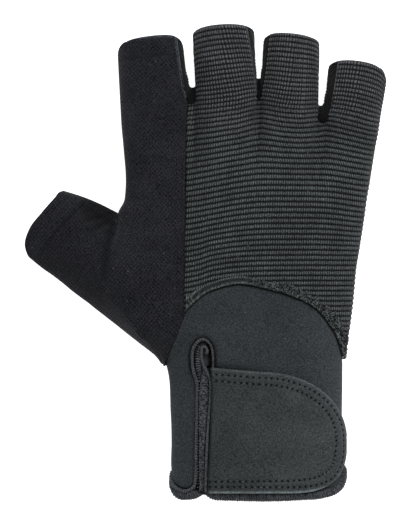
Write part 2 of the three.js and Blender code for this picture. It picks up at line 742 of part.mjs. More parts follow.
function hookPatch() {
  return sheet({
    across: spaced(backTurn(HOOK.fromX, STRAP.tipY), backTurn(HOOK.toX, STRAP.tipY), 5),
    along: spaced(HOOK.lowY, HOOK.topY, 3),
    at: (turn, y) => offCuff(turn, y, SEAM_GAP + HOOK_THICK),
    thick: HOOK_THICK,
  });
}

// The gathered edge: a band along the dome, lying on the ribbed cloth, puckered in waves.
function gatheredEdge() {
  const band = (place, up) => {
    const share = Math.sin((Math.PI / 2) * place);
    const foot = domeLevel(share, false);
    const x = acrossAt(share, foot, false);
    const slope = read(DOME, "x", "y", x + 0.5) - read(DOME, "x", "y", x - 0.5);
    const y = foot + up * GATHER.width * Math.min(GATHER_STEEPEST, Math.hypot(1, slope));
    const at = acrossAt(share, y, false);
    return new THREE.Vector3(at, y, backHeight(at, y));
  };
  const puckered = (place, up) => {
    const wave = 1 + Math.sin(2 * Math.PI * GATHER.waves * place);
    const away = SEAM_GAP + GATHER.thick + GATHER.wave * wave;
    return band(place, up).addScaledVector(normalOf(band, place, up, 1), away);
  };
  return sheet({
    across: spaced(GATHER.from, GATHER.to, 4 * GATHER.waves),
    along: [0, 0.5, 1],
    at: puckered,
    thick: GATHER.thick,
  });
}

const group = new THREE.Group();

function add(name, geometry, finish) {
  geometry.computeVertexNormals();
  const mesh = new THREE.Mesh(geometry, new THREE.MeshStandardMaterial({ ...COLOURS[finish], metalness: 0 }));
  mesh.name = name;
  group.add(mesh);
}

add("palm_panel", palmPanel(), "suede");
add("index_panel", indexPanel(), "suede");
add("back_panel", backPanel(), "ribbed");
add("index_middle_strip", stripPanel(0), "strip");
add("middle_ring_strip", stripPanel(1), "strip");
add("ring_little_strip", stripPanel(2), "strip");
add("thumb_stall", thumbStall(), "suede");
add("cuff", cuff(), "cuff");
add("gathered_edge", gatheredEdge(), "ribbed");
add("hem_binding", hemBinding(), "binding");
add("slit_binding", slitBinding(), "binding");
add("strap_roll", strapRoll(), "binding");
add("hook_patch", hookPatch(), "strip");
add("wrist_strap", wristStrap(), "strap");

export default group;
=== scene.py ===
# %% [markdown]
# # A half-finger weightlifting glove
#
# The glove lies on its palm and the camera looks straight down at its back. Every panel is a
# sheet of cloth with its own thickness. We lay each one out as a grid, bend the grid over one
# common skin, and thicken it, much as a tailor cuts flat cloth and sews it over a form.

import math

import bpy
import numpy as np
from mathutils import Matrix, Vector


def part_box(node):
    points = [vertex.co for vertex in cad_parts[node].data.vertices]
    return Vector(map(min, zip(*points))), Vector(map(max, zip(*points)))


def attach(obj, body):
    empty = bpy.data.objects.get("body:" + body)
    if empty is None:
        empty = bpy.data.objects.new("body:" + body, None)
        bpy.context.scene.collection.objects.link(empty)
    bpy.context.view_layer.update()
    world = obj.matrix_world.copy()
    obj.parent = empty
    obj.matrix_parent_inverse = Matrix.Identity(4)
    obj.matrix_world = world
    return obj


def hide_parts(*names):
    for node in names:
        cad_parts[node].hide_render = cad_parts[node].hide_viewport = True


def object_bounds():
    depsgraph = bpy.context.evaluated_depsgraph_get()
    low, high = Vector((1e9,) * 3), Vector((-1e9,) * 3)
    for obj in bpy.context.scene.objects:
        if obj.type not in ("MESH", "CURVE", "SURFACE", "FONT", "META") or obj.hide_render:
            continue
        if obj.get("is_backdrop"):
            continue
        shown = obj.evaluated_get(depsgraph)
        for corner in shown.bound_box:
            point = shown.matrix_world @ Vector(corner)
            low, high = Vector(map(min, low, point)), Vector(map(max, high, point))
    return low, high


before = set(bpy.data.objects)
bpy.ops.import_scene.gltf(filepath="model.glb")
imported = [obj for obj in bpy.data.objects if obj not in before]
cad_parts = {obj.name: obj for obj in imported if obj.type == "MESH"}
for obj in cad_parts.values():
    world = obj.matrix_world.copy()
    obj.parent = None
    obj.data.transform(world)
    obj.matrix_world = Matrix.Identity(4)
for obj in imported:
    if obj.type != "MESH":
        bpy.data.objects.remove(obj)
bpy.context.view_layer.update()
MM = 0.001

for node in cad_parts:
    low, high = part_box(node)
    print(node, [round(value / MM, 1) for value in (*low, *high)])

# %% [markdown]
# ## The skin
#
# The tables below hold the glove's sections in millimetres. A smooth line through each column
# gives the outline at any level, so every panel can ask the same skin where it lies. That way
# two panels that meet at a seam always agree about the place of the seam.

# %% Tables of the skin
# y, left x, right x, height
SECTIONS = [
    (76, -36.3, 75.8, 20),
    (58, -35.2, 73.4, 22),
    (47, -34.2, 71.5, 23.2),
    (34, -33.3, 69.4, 24.2),
    (26.5, -33.8, 68, 24.8),
    (20.6, -36.5, 67.2, 25),
    (6, -39.4, 65, 25.4),
    (-4, -40, 63.4, 25.4),
    (-16, -36.5, 62.2, 25),
    (-28, -28.6, 60.8, 24.2),
    (-37, -20.6, 58.9, 23.6),
    (-42, -16.6, 57.6, 23.4),
    (-52, -14.8, 57.6, 23.2),
    (-62, -14.4, 57.5, 23.4),
    (-76, -14.1, 57.2, 23.6),
    (-100, -14.3, 57.6, 24),
]
# y, x of the seam between suede and ribbed cloth
BACK_SEAM = [(70, -6.9), (50, -7.6), (10, -8.4), (-18, -8.8), (-42, -9)]
# x, y of the cuff's upper edge
DOME = [
    (-16.4, -42),
    (-12.2, -31.9),
    (-7.1, -19.7),
    (3.8, -11.6),
    (14.5, -9.3),
    (26, -11.4),
    (43.7, -17.8),
    (53.8, -29.4),
    (58.1, -42),
]
# share of the way from the back to the palm, y of the hem
HEM = [(0, -96), (0.2, -94.9), (0.33, -92.6), (0.5, -87), (0.72, -83.6), (1, -82.8)]
# place along the thumb's open end, x, y
THUMB_END = [
    (-1, -70.4, 0.3),
    (-0.88, -74.4, 2.4),
    (-0.7, -75.8, 6.8),
    (-0.35, -73.9, 13.4),
    (0.3, -67.9, 21.5),
    (0.8, -62.7, 27.7),
    (0.93, -61.2, 29.7),
    (1, -59.6, 30.1),
]
# x and y of both corners of each open end, the height there and at the root, and how far the
# end is cut back at its left and right side and by its bow
FINGERS = [
    dict(left=(-36.8, 93.2), right=(-9.2, 96.5), end=17, root=19.5, side=(5.4, 5.2), bow=1.1),
    dict(left=(-5.2, 99.2), right=(20.7, 100.3), end=17.5, root=20, side=(1.6, 1.8), bow=1.4),
    dict(left=(24.6, 97.1), right=(48.2, 94.8), end=17, root=19.5, side=(2.6, 1.6), bow=1.3),
    dict(left=(51.9, 86), right=(76.3, 82.9), end=16, root=18, side=(2.2, 5), bow=1.7),
]
# for each finger's left and right side, how far in the strip's seam lies at the root and at the
# end, and how its line bends between them
STRIP_INSETS = [
    (None, (0.9, 3, 0.6)),
    ((0.3, 0.6, 1), (0.2, 3.5, 1.6)),
    ((0.3, 2.5, 0.9), (0.3, 0.6, 1)),
    ((1.5, 4, 0.55), None),
]
# the middle of each crotch between two fingers, and half its width
CROTCHES = [
    dict(x=-5.35, y=68.4, half=1.35),
    dict(x=22.6, y=69, half=0.8),
    dict(x=48.8, y=60.6, half=1.2),
]
# how far in a strip's lower seam lies, and how much further an open end is cut back below
PALM_STRIP = 2.4
END_CUT_PALM = 2.2
THUMB_HEIGHT = 19
# levels of the wrist seam, of both ends of the thumb's mouth and of the outer fingers' roots
WRIST_Y = -42
THUMB_CROTCH_Y = 20.6
THUMB_HEEL_Y = -41.2
KNUCKLE_Y = 58
# how square each rounded section is, where 2 would be an ellipse
BACK_ROUND = 3
PALM_ROUND = 5
FINGER_ROUND = 2.4
THUMB_ROUND = 3
THUMB_END_ROUND = 2.3
# the palm is pressed a little past flat, so that it rests on the floor over most of its width
PALM_PRESS = 1.06


def smooth_line(rows, column):
    """A smooth curve through one column of a table, flat where a row is a peak."""
    rows = sorted(rows)
    at = np.array([row[0] for row in rows], float)
    value = np.array([row[column] for row in rows], float)
    rise = np.diff(value) / np.diff(at)
    before, after = rise[:-1], rise[1:]
    same = before * after > 0
    mean = 2 * before * after / np.where(same, before + after, 1)
    slope = np.concatenate([rise[:1], np.where(same, mean, 0), rise[-1:]])

    def line(place):
        place = np.clip(place, at[0], at[-1])
        i = np.clip(np.searchsorted(at, place, side="right") - 1, 0, len(at) - 2)
        step = at[i + 1] - at[i]
        t = (place - at[i]) / step
        ends = value[i] * (2 * t**3 - 3 * t**2 + 1) + value[i + 1] * (3 * t**2 - 2 * t**3)
        return ends + step * (slope[i] * (t**3 - 2 * t**2 + t) + slope[i + 1] * (t**3 - t**2))

    return line


left_line, right_line, height_line = (smooth_line(SECTIONS, column) for column in (1, 2, 3))
seam_line = smooth_line(BACK_SEAM, 1)
dome_line = smooth_line(DOME, 1)
hem_line = smooth_line(HEM, 1)
thumb_end_x, thumb_end_y = smooth_line(THUMB_END, 1), smooth_line(THUMB_END, 2)
print("width at the knuckles", round(float(right_line(KNUCKLE_Y) - left_line(KNUCKLE_Y)), 1), "mm")

# %% [markdown]
# The back of the hand is an arch and the palm is a flatter one. Where the thumb opens out of the
# side, both surfaces leave the side at a slope instead of closing, so the thumb can grow out of
# them without a step. Two soft folds run from the thumb's crotch, as the suede bends there.

# %% Heights of the skin
# x and y of both ends of a fold, its width and its depth
FOLDS = [(-37.5, 17, -42.4, -5, 3, 1.5), (-43, 18, -50, 6, 4, 0.8)]
FOLD_ENDS = 0.1


def lerp(a, b, t):
    """A blend that is a where t is 0 and b where t is 1."""
    return a + (b - a) * t


def ease(value, low, high):
    """0 below low, 1 above high, and a smooth step between."""
    t = np.clip((value - low) / (high - low), 0, 1)
    return t * t * (3 - 2 * t)


def hill(value, middle, width):
    """1 at the middle, and a smooth fall to 0 on both sides."""
    return np.exp(-(((value - middle) / width) ** 2))


def fold_depth(x, y):
    """How deep the two soft folds press the back at a place."""
    depth = 0
    for from_x, from_y, to_x, to_y, width, deep in FOLDS:
        run_x, run_y = to_x - from_x, to_y - from_y
        t = np.clip(((x - from_x) * run_x + (y - from_y) * run_y) / (run_x**2 + run_y**2), 0, 1)
        away = np.hypot(x - from_x - t * run_x, y - from_y - t * run_y)
        ends = np.sin(np.pi * np.clip(t, FOLD_ENDS, 1 - FOLD_ENDS))
        depth = depth + deep * ends * hill(away, 0, width)
    return depth


def thumb_share(y):
    """How full the thumb's mouth is: 0 at its crotch and heel, 1 half way between."""
    place = (2 * y - THUMB_CROTCH_Y - THUMB_HEEL_Y) / (THUMB_CROTCH_Y - THUMB_HEEL_Y)
    return np.where(np.abs(place) < 1, 1 - np.abs(place) ** THUMB_ROUND, 0)


def arch(x, y, roundness):
    """The place across from -1 to 1, and how high the section's arch stands there."""
    left, right = left_line(y), right_line(y)
    s = np.clip((2 * x - left - right) / (right - left), -1, 1)
    power = np.where(s < 0, 0.5 + 0.5 * np.clip(2 * thumb_share(y), 0, 1), 0.5)
    return s, (1 - np.abs(s) ** roundness) ** power


def back_height(x, y):
    """The height of the skin on the back of the hand."""
    s, rise = arch(x, y, BACK_ROUND)
    height = height_line(y)
    end = height / 2 * np.where(s < 0, 1 + thumb_share(y), 1)
    return end + (height - end) * rise - fold_depth(x, y)


def palm_height(x, y):
    """The height of the skin on the palm."""
    s, rise = arch(x, y, PALM_ROUND)
    end = height_line(y) / 2 * np.where(s < 0, 1 - thumb_share(y), 1)
    return np.maximum(0, end * (1 - PALM_PRESS * rise))


HAND_MIDDLE = (15.0, 0.0)
print("height of the hand", round(float(back_height(*HAND_MIDDLE)), 1), "mm")

# %% [markdown]
# A finger stall is a tube whose end is cut off. The turn goes from PI at its left side over the
# top to 0 at its right side, and on below the palm to -PI.

# %% Points of the finger stalls
LEFT, RIGHT = 0, 1


def reach(turn, roundness):
    """The place across a rounded section, from -1 to 1, at a turn."""
    c = np.cos(turn)
    return np.sign(c) * np.abs(c) ** (2 / roundness)


def turn_at(inset, width, roundness):
    """The turn of the place this far in from the right side of a section."""
    return np.arccos(np.clip(1 - 2 * inset / width, -1, 1) ** (roundness / 2))


def root_corners(k):
    """Both corners of a stall's root, as x and y."""
    left = (float(left_line(KNUCKLE_Y)), KNUCKLE_Y)
    right = (float(right_line(KNUCKLE_Y)), KNUCKLE_Y)
    if k > 0:
        left = (CROTCHES[k - 1]["x"] + CROTCHES[k - 1]["half"], CROTCHES[k - 1]["y"])
    if k < 3:
        right = (CROTCHES[k]["x"] - CROTCHES[k]["half"], CROTCHES[k]["y"])
    return left, right


def stall_point(k, turn, along):
    """A point on stall k: along is 0 at the root and 1 at the open end."""
    finger = FINGERS[k]
    root_left, root_right = root_corners(k)
    over = turn >= 0
    place = np.where(over, reach(turn, FINGER_ROUND), reach(turn, PALM_ROUND))
    across = (1 + place) / 2
    lift = np.abs(np.sin(turn))
    side = lerp(*finger["side"], across)
    cut = side * np.where(over, (1 - lift) ** 2, 1) + finger["bow"] * place**2
    cut = cut + np.where(over, 0, END_CUT_PALM * lift)
    x_root, y_root = (lerp(a, b, across) for a, b in zip(root_left, root_right))
    x_end, y_end = (lerp(a, b, across) for a, b in zip(finger["left"], finger["right"]))
    height = lerp(finger["root"], finger["end"], along)
    low = np.maximum(0, height / 2 * (1 - PALM_PRESS * lift))
    z = np.where(over, height / 2 * (1 + lift), low)
    return np.stack([lerp(x_root, x_end, along), lerp(y_root, y_end - cut, along), z], -1)


def seam_turn(k, side, over, along=0.0):
    """The turn of the seam with the strip on one side of a stall, or of the bare side itself."""
    root_left, root_right = root_corners(k)
    if STRIP_INSETS[k][side] is None:
        inset = 0 * along
    elif over:
        at_root, at_end, bend = STRIP_INSETS[k][side]
        inset = lerp(at_root, at_end, along**bend)
    else:
        inset = PALM_STRIP + 0 * along
    turn = turn_at(inset, root_right[0] - root_left[0], FINGER_ROUND if over else PALM_ROUND)
    upper = turn if side == RIGHT else math.pi - turn
    return upper if over else -upper


def crotch_point(k, left_turn, right_turn, way):
    """Round a crotch at the level of two seams: way is 0 at the left stall and 1 at the right."""
    start = stall_point(k, left_turn, 0.0)
    stop = stall_point(k + 1, right_turn, 0.0)
    half = (stop - start) / 2
    point = (start + stop) / 2 - half * np.cos(np.pi * way)[..., None]
    point[..., 1] -= np.linalg.norm(half, axis=-1) * np.sin(np.pi * way)
    return point


for k in range(4):
    root_left, root_right = root_corners(k)
    print("finger stall", k, "is", round(root_right[0] - root_left[0], 1), "mm wide at its root")

# %% [markdown]
# The panels of the hand run from the wrist up to the roots of the fingers. A column number says
# where we are across: 0 to 1 is the index finger, 1 to 2 its crotch, 2 to 3 the middle finger,
# and so on up to 7 at the outer side of the little finger.

# %% Roots of the fingers
# the column of the seam between suede and ribbed cloth, just past the index finger
SEAM_COLUMN = 1.125


def root_point(column, over):
    """A point of the line round all roots and crotches, on the back or on the palm."""
    place = np.clip(np.floor(column), 0, 6).astype(int)
    share = column - place
    point = np.zeros((*column.shape, 3))
    for part in range(7):
        here = place == part
        if not here.any():
            continue
        k = part // 2
        right = seam_turn(k, RIGHT, over)
        if part % 2 == 0:
            point[here] = stall_point(k, lerp(seam_turn(k, LEFT, over), right, share[here]), 0.0)
        else:
            next_left = seam_turn(k + 1, LEFT, over)
            flat = np.zeros(here.sum())
            point[here] = crotch_point(k, right + flat, next_left + flat, share[here])
    return point


SEAM_ROOT = float(root_point(np.array([SEAM_COLUMN]), True)[0, 0])
print("the seam beside the index finger starts at x =", round(SEAM_ROOT, 1), "mm")

# %% [markdown]
# Below the roots each column runs down the hand at a fixed share of the way across its cloth, to
# the dome on the back or to the wrist on the palm. In its upper half it bends towards its root.

# %% Points of the hand
HALVINGS = 24


def across_at(share, y, suede):
    """The x at a share of the way across the suede or across the ribbed cloth."""
    left = np.where(suede, left_line(y), seam_line(y))
    return lerp(left, np.where(suede, seam_line(y), right_line(y)), share)


def dome_level(share, suede):
    """Where a line at one share across runs down to the dome."""
    low = np.full(np.shape(share), float(WRIST_Y))
    high = np.zeros(np.shape(share))
    for _ in range(HALVINGS):
        middle = (low + high) / 2
        below = dome_line(across_at(share, middle, suede)) > middle
        low, high = np.where(below, middle, low), np.where(below, high, middle)
    return low


def hand_line(column, over):
    """What a column of the hand needs: its root, its share across and the y of its lower end."""
    root = root_point(column, over)
    suede = column <= SEAM_COLUMN
    low = np.where(suede, left_line(KNUCKLE_Y), SEAM_ROOT)
    high = np.where(suede, SEAM_ROOT, right_line(KNUCKLE_Y))
    share = np.clip((root[..., 0] - low) / (high - low), 0, 1)
    foot = dome_level(share, suede) if over else np.full(column.shape, float(WRIST_Y))
    return root, suede, share, foot


def hand_at(column, y, over):
    """A point of the hand's skin on a column, at a level y below the column's root."""
    root, suede, share, foot = hand_line(column, over)
    near = ease((y - foot) / (root[..., 1] - foot), 0.5, 1)
    x = across_at(share, y, suede) + near * (root[..., 0] - across_at(share, root[..., 1], suede))
    flat = back_height(x, y) if over else palm_height(x, y)
    return np.stack([x, y, lerp(flat, root[..., 2], near)], -1)


def on_stalls(column, along, over):
    """A point of the stalls above the roots, for columns on a finger."""
    k = np.clip(np.round((column - 0.5) / 2), 0, 3).astype(int)
    share = np.clip(column - 2 * k, 0, 1)
    point = np.zeros((*column.shape, 3))
    for finger in range(4):
        here = k == finger
        left, right = (seam_turn(finger, side, over, along[here]) for side in (LEFT, RIGHT))
        point[here] = stall_point(finger, lerp(left, right, share[here]), along[here])
    return point


# %% [markdown]
# ## Cutting and sewing a sheet
#
# Each panel starts as a flat grid. We move its corners onto the skin, delete the cells outside
# the pattern, and give what is left its thickness with a Solidify modifier. Near its borders
# the cloth turns under, so the outer face drops a little there and the seams read as real ones.

# %% Selecting and applying
def only(piece):
    """Select one piece and nothing else, and make it the active one."""
    bpy.ops.object.select_all(action="DESELECT")
    piece.select_set(True)
    bpy.context.view_layer.objects.active = piece


def apply_modifier(piece, kind, **settings):
    """Add a modifier, set it and apply it at once."""
    only(piece)
    bpy.ops.object.modifier_add(type=kind)
    modifier = piece.modifiers[-1]
    for name, value in settings.items():
        setattr(modifier, name, value)
    bpy.ops.object.modifier_apply(modifier=modifier.name)


def edit_all(piece, operator, **settings):
    """Run one of edit mode's operators on the whole of a piece."""
    only(piece)
    bpy.ops.object.mode_set(mode="EDIT")
    bpy.ops.mesh.select_all(action="SELECT")
    operator(**settings)
    bpy.ops.object.mode_set(mode="OBJECT")


def weld(piece, apart=0.002):
    """Join the corners of a piece that lie closer together than this many millimetres."""
    edit_all(piece, bpy.ops.mesh.remove_doubles, threshold=apart * MM)


def face_outwards(piece):
    """Turn every face of a piece outwards."""
    edit_all(piece, bpy.ops.mesh.normals_make_consistent, inside=False)


# %% [markdown]
# The steps of a grid tell two things about each of its points: which way is outwards, and how
# far the nearest border of the cloth is. From the second come the turned edges of the panels and
# the painted shade that darkens every seam.

# %% Normals and borders of a grid
FAR_INSIDE = 1000.0


def unit(vectors):
    """The same vectors, 1 long."""
    return vectors / np.maximum(np.linalg.norm(vectors, axis=-1, keepdims=True), 1e-9)


def grid_normals(points, closed=False):
    """The normals of a grid of points, from its steps both ways."""
    if closed:
        wrapped = np.concatenate([points[-2:-1], points, points[1:2]])
        along = np.gradient(wrapped, axis=0)[1:-1]
    else:
        along = np.gradient(points, axis=0)
    return unit(np.cross(along, np.gradient(points, axis=1)))


def edge_distance(points, keep=None, closed=False):
    """How far each point of a grid is from the border of the kept cells, in millimetres."""
    columns, rows = points.shape[:2]
    kept = np.zeros((columns + 1, rows + 1), bool)
    kept[1:-1, 1:-1] = True if keep is None else keep
    if closed:
        kept[0], kept[-1] = kept[-2], kept[1]
    inside = kept[:-1, :-1] & kept[1:, :-1] & kept[:-1, 1:] & kept[1:, 1:]
    far = np.where(inside, FAR_INSIDE, 0.0)
    step_u = np.linalg.norm(np.diff(points, axis=0), axis=-1)
    step_v = np.linalg.norm(np.diff(points, axis=1), axis=-1)
    for _ in range(2 if closed else 1):
        for i in range(1, columns):
            far[i] = np.minimum(far[i], far[i - 1] + step_u[i - 1])
        for i in range(columns - 2, -1, -1):
            far[i] = np.minimum(far[i], far[i + 1] + step_u[i])
        if closed:
            far[0] = far[-1] = np.minimum(far[0], far[-1])
    for j in range(1, rows):
        far[:, j] = np.minimum(far[:, j], far[:, j - 1] + step_v[:, j - 1])
    for j in range(rows - 2, -1, -1):
        far[:, j] = np.minimum(far[:, j], far[:, j + 1] + step_v[:, j])
    return far


def turned_edge(far, radius):
    """How far the outer face drops where the cloth turns under at its border."""
    return radius - np.sqrt(np.maximum(0, radius**2 - np.clip(radius - far, 0, radius) ** 2))


def seam_shade(far, dark, width, start=0.0):
    """Painted shade near a cloth's border: dark at the seam and 1 beyond this width."""
    return lerp(dark, 1, ease(far, start, start + width))


# %% [markdown]
# Blender's grid primitive makes the flat cloth. The layout of a sheet that isn't plain goes into
# its UV map, and its brightness, mostly painted light and shade, into an attribute, so both stay
# with the cloth as it bends.

# %% Laying a grid
def paint(piece, shade):
    """Keep a brightness for each corner of a piece, mostly painted light and shade with some random
    tone, which its material multiplies its colour by.
    """
    layer = piece.data.attributes.new("shade", "FLOAT", "POINT")
    layer.data.foreach_set("value", np.asarray(shade, float).ravel())


def cut_away(piece, keep):
    """Delete the cells of a grid that aren't kept."""
    bpy.context.tool_settings.mesh_select_mode = (False, False, True)
    only(piece)
    bpy.ops.object.mode_set(mode="EDIT")
    bpy.ops.mesh.select_all(action="DESELECT")
    bpy.ops.object.mode_set(mode="OBJECT")
    piece.data.polygons.foreach_set("select", ~keep.transpose(1, 0).ravel())
    bpy.ops.object.mode_set(mode="EDIT")
    bpy.ops.mesh.delete(type="FACE")
    bpy.ops.object.mode_set(mode="OBJECT")


def grid_piece(name, points, keep=None, uv=None, shade=None):
    """A grid laid over the given points, in millimetres, with only the kept cells."""
    columns, rows = points.shape[:2]
    bpy.ops.object.select_all(action="DESELECT")
    bpy.ops.mesh.primitive_grid_add(x_subdivisions=columns - 1, y_subdivisions=rows - 1, size=1)
    piece = bpy.context.object
    piece.name = piece.data.name = name
    piece.data.vertices.foreach_set("co", (points.transpose(1, 0, 2) * MM).ravel())
    if uv is not None:
        corners = np.empty(len(piece.data.loops), int)
        piece.data.loops.foreach_get("vertex_index", corners)
        flat = uv.transpose(1, 0, 2).reshape(-1, 2)
        piece.data.uv_layers.active.data.foreach_set("uv", flat[corners].ravel())
    if shade is not None:
        paint(piece, shade.T)
    if keep is not None and not keep.all():
        cut_away(piece, keep)
    piece.data.update()
    return piece


# %% [markdown]
# A finished sheet gets its thickness from Solidify, inwards from its face. Then the frame is told
# which solids the piece stands for, and the piece takes its cloth.

# %% Thickness and cloth
def register(piece, slot, nodes):
    """Fix a piece to the glove, in a cloth, in place of the solids that it stands for."""
    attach(piece, "root")
    if nodes:
        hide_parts(*nodes)
    piece.data.materials.clear()
    piece.data.materials.append(MATERIALS[slot])
    if "shade" not in piece.data.attributes:
        paint(piece, np.ones(len(piece.data.vertices)))
    piece.data.calc_loop_triangles()
    print(piece.name, len(piece.data.loop_triangles), "triangles")


def finish_sheet(piece, thick, slot, nodes, flip=False):
    """Thicken a sheet inwards, smooth its shading and register it."""
    if flip:
        edit_all(piece, bpy.ops.mesh.flip_normals)
    apply_modifier(piece, "SOLIDIFY", thickness=thick * MM, offset=-1)
    bpy.ops.object.shade_smooth()
    register(piece, slot, nodes)


# %% [markdown]
# ## Materials
#
# All cloths here are matt and very dark, so nearly everything that we see of them is their
# texture. Each material blends a dark and a lighter colour by a pattern in millimetres, adds a
# little bump, and multiplies the colour by the piece's own "shade" layer: painted shade at seams,
# creases and holes, painted highlights on some edges, and a little random tone.

# %% A small builder for materials
class Cloth:
    """A material whose nodes are added one at a time. Patterns are in millimetres."""

    def __init__(self, name, roughness=0.95, sheen=0.0, specular=0.12):
        self.material = bpy.data.materials.new(name)
        self.material.use_nodes = True
        self.tree = self.material.node_tree
        self.shader = self.tree.nodes["Principled BSDF"]
        self.shader.inputs["Roughness"].default_value = roughness
        self.shader.inputs["Sheen Weight"].default_value = sheen
        self.shader.inputs["Specular IOR Level"].default_value = specular

    def node(self, kind, inputs=None, output=0, **settings):
        """Add a node, set its options and inputs, and return one of its outputs."""
        node = self.tree.nodes.new("ShaderNode" + kind)
        for name, value in settings.items():
            setattr(node, name, value)
        for name, value in (inputs or {}).items():
            if isinstance(value, bpy.types.NodeSocket):
                self.tree.links.new(value, node.inputs[name])
            else:
                node.inputs[name].default_value = value
        return node.outputs[output]

    def math(self, operation, *values):
        """Work out one or more values by an operation such as ADD or SINE."""
        return self.node("Math", dict(enumerate(values)), operation=operation)

    def place(self):
        """Object coordinates in millimetres."""
        coordinates = self.node("TexCoord", output=3)
        return self.node("Mapping", {"Vector": coordinates, "Scale": (1000, 1000, 1000)})

    def noise(self, place, size, detail=2.0, roughness=0.6):
        """Noise between about 0 and 1 whose lumps are about this many millimetres wide."""
        inputs = {"Vector": place, "Scale": 1 / size, "Detail": detail, "Roughness": roughness}
        return self.node("TexNoise", inputs)

    def fit(self, value, from_low, from_high, to_low, to_high):
        """The value moved from one range to another, and held inside it."""
        inputs = dict(zip(range(5), (value, from_low, from_high, to_low, to_high)))
        return self.node("MapRange", inputs)

    def specks(self, place, apart, size, strength):
        """Rare pale specks: 0 between them."""
        inputs = {"Vector": place, "Scale": 1 / apart}
        far = self.node("TexVoronoi", inputs, output="Distance")
        return self.fit(far, size / apart, 0.5 * size / apart, 0, strength)

    def dye(self, dark, light, factor):
        """Colour between dark and light by a factor, scaled by the piece's layer of painted light
        and shade.
        """
        if not isinstance(light, bpy.types.NodeSocket):
            light = (*light, 1)
        inputs = {0: factor, 6: (*dark, 1), 7: light}
        mixed = self.node("Mix", inputs, output=2, data_type="RGBA", clamp_factor=False)
        shade = self.node("Attribute", output="Fac", attribute_name="shade")
        scaled = self.node("VectorMath", {0: mixed, 3: shade}, operation="SCALE")
        self.tree.links.new(scaled, self.shader.inputs["Base Color"])

    def bump(self, height, depth, strength=1.0):
        """Bump of this many millimetres between height 0 and 1."""
        inputs = {"Height": height, "Distance": depth * MM, "Strength": strength}
        self.tree.links.new(self.node("Bump", inputs), self.shader.inputs["Normal"])


# %% [markdown]
# The suede's nap is combed two ways, like a fine twill, with larger darker patches. The ribbed
# cloth further down has pale beads along each rib and reads them from its own layout, so they
# stay on the ribs wherever those bend.

# %% Suede
SUEDE_DARK = (0.0085, 0.0088, 0.0115)
SUEDE_LIGHT = (0.0285, 0.029, 0.0365)
# how much each line of the twill leans, and its pitch
TWILL = [(0.92, 1.24), (-0.86, 1.28)]
TWILL_WANDER = dict(size=3.5, turn=5.0)
NAP = 0.55
PATCH = 9.0


def suede_cloth():
    """The black suede of the palm, the index finger and the thumb."""
    cloth = Cloth("suede", sheen=0.05)
    place = cloth.place()
    x, y = (cloth.node("SeparateXYZ", {0: place}, output=axis) for axis in (0, 1))
    wander = cloth.math("MULTIPLY", cloth.noise(place, TWILL_WANDER["size"]), TWILL_WANDER["turn"])
    waves = []
    for lean, pitch in TWILL:
        across = cloth.math("MULTIPLY_ADD", y, lean, x)
        turns_per_mm = 2 * math.pi / (pitch * math.hypot(1, lean))
        waves.append(cloth.math("SINE", cloth.math("MULTIPLY_ADD", across, turns_per_mm, wander)))
    twill = cloth.math("ADD", *waves)
    grain = cloth.noise(place, NAP, 1.0, 0.6)
    patch = cloth.noise(place, PATCH, 2.0)
    factor = cloth.math("MULTIPLY_ADD", twill, 0.13, cloth.fit(grain, 0.33, 0.67, -0.2, 0.8))
    factor = cloth.math("MULTIPLY_ADD", patch, 0.6, cloth.math("SUBTRACT", factor, 0.3))
    factor = cloth.math("ADD", factor, cloth.specks(place, apart=4.5, size=0.45, strength=1.6))
    cloth.dye(SUEDE_DARK, SUEDE_LIGHT, factor)
    cloth.bump(cloth.math("MULTIPLY_ADD", twill, 0.15, grain), 0.25)
    return cloth.material


# %% [markdown]
# The ribbed cloth is pulled open on the fingers, so its beads are wider and paler there and show
# even in the gaps between the ribs. On the hand the gaps stay black. The light crests and dark
# gaps are partly the knit's pattern and partly painted light and shade of the ribs.

# %% Ribbed cloth's material
RIB_PITCH = 2.2
RIB_DARK = (0.0065, 0.0072, 0.0082)
RIB_LIGHT_HAND = (0.084, 0.0955, 0.0965, 1)
RIB_LIGHT_FINGERS = (0.088, 0.0905, 0.0945, 1)
# pitch of the beads on the hand, on the middle finger and on the two others
HAND_BEADS = 1.0
MIDDLE_BEADS = 1.3
OTHER_BEADS = 1.15
# levels between which the cloth opens, and between which the open ends tighten it again
OPENS = (52, 66)
TIGHTENS = (78, 90)
MIDDLE_FINGER_ENDS = (22, 23)


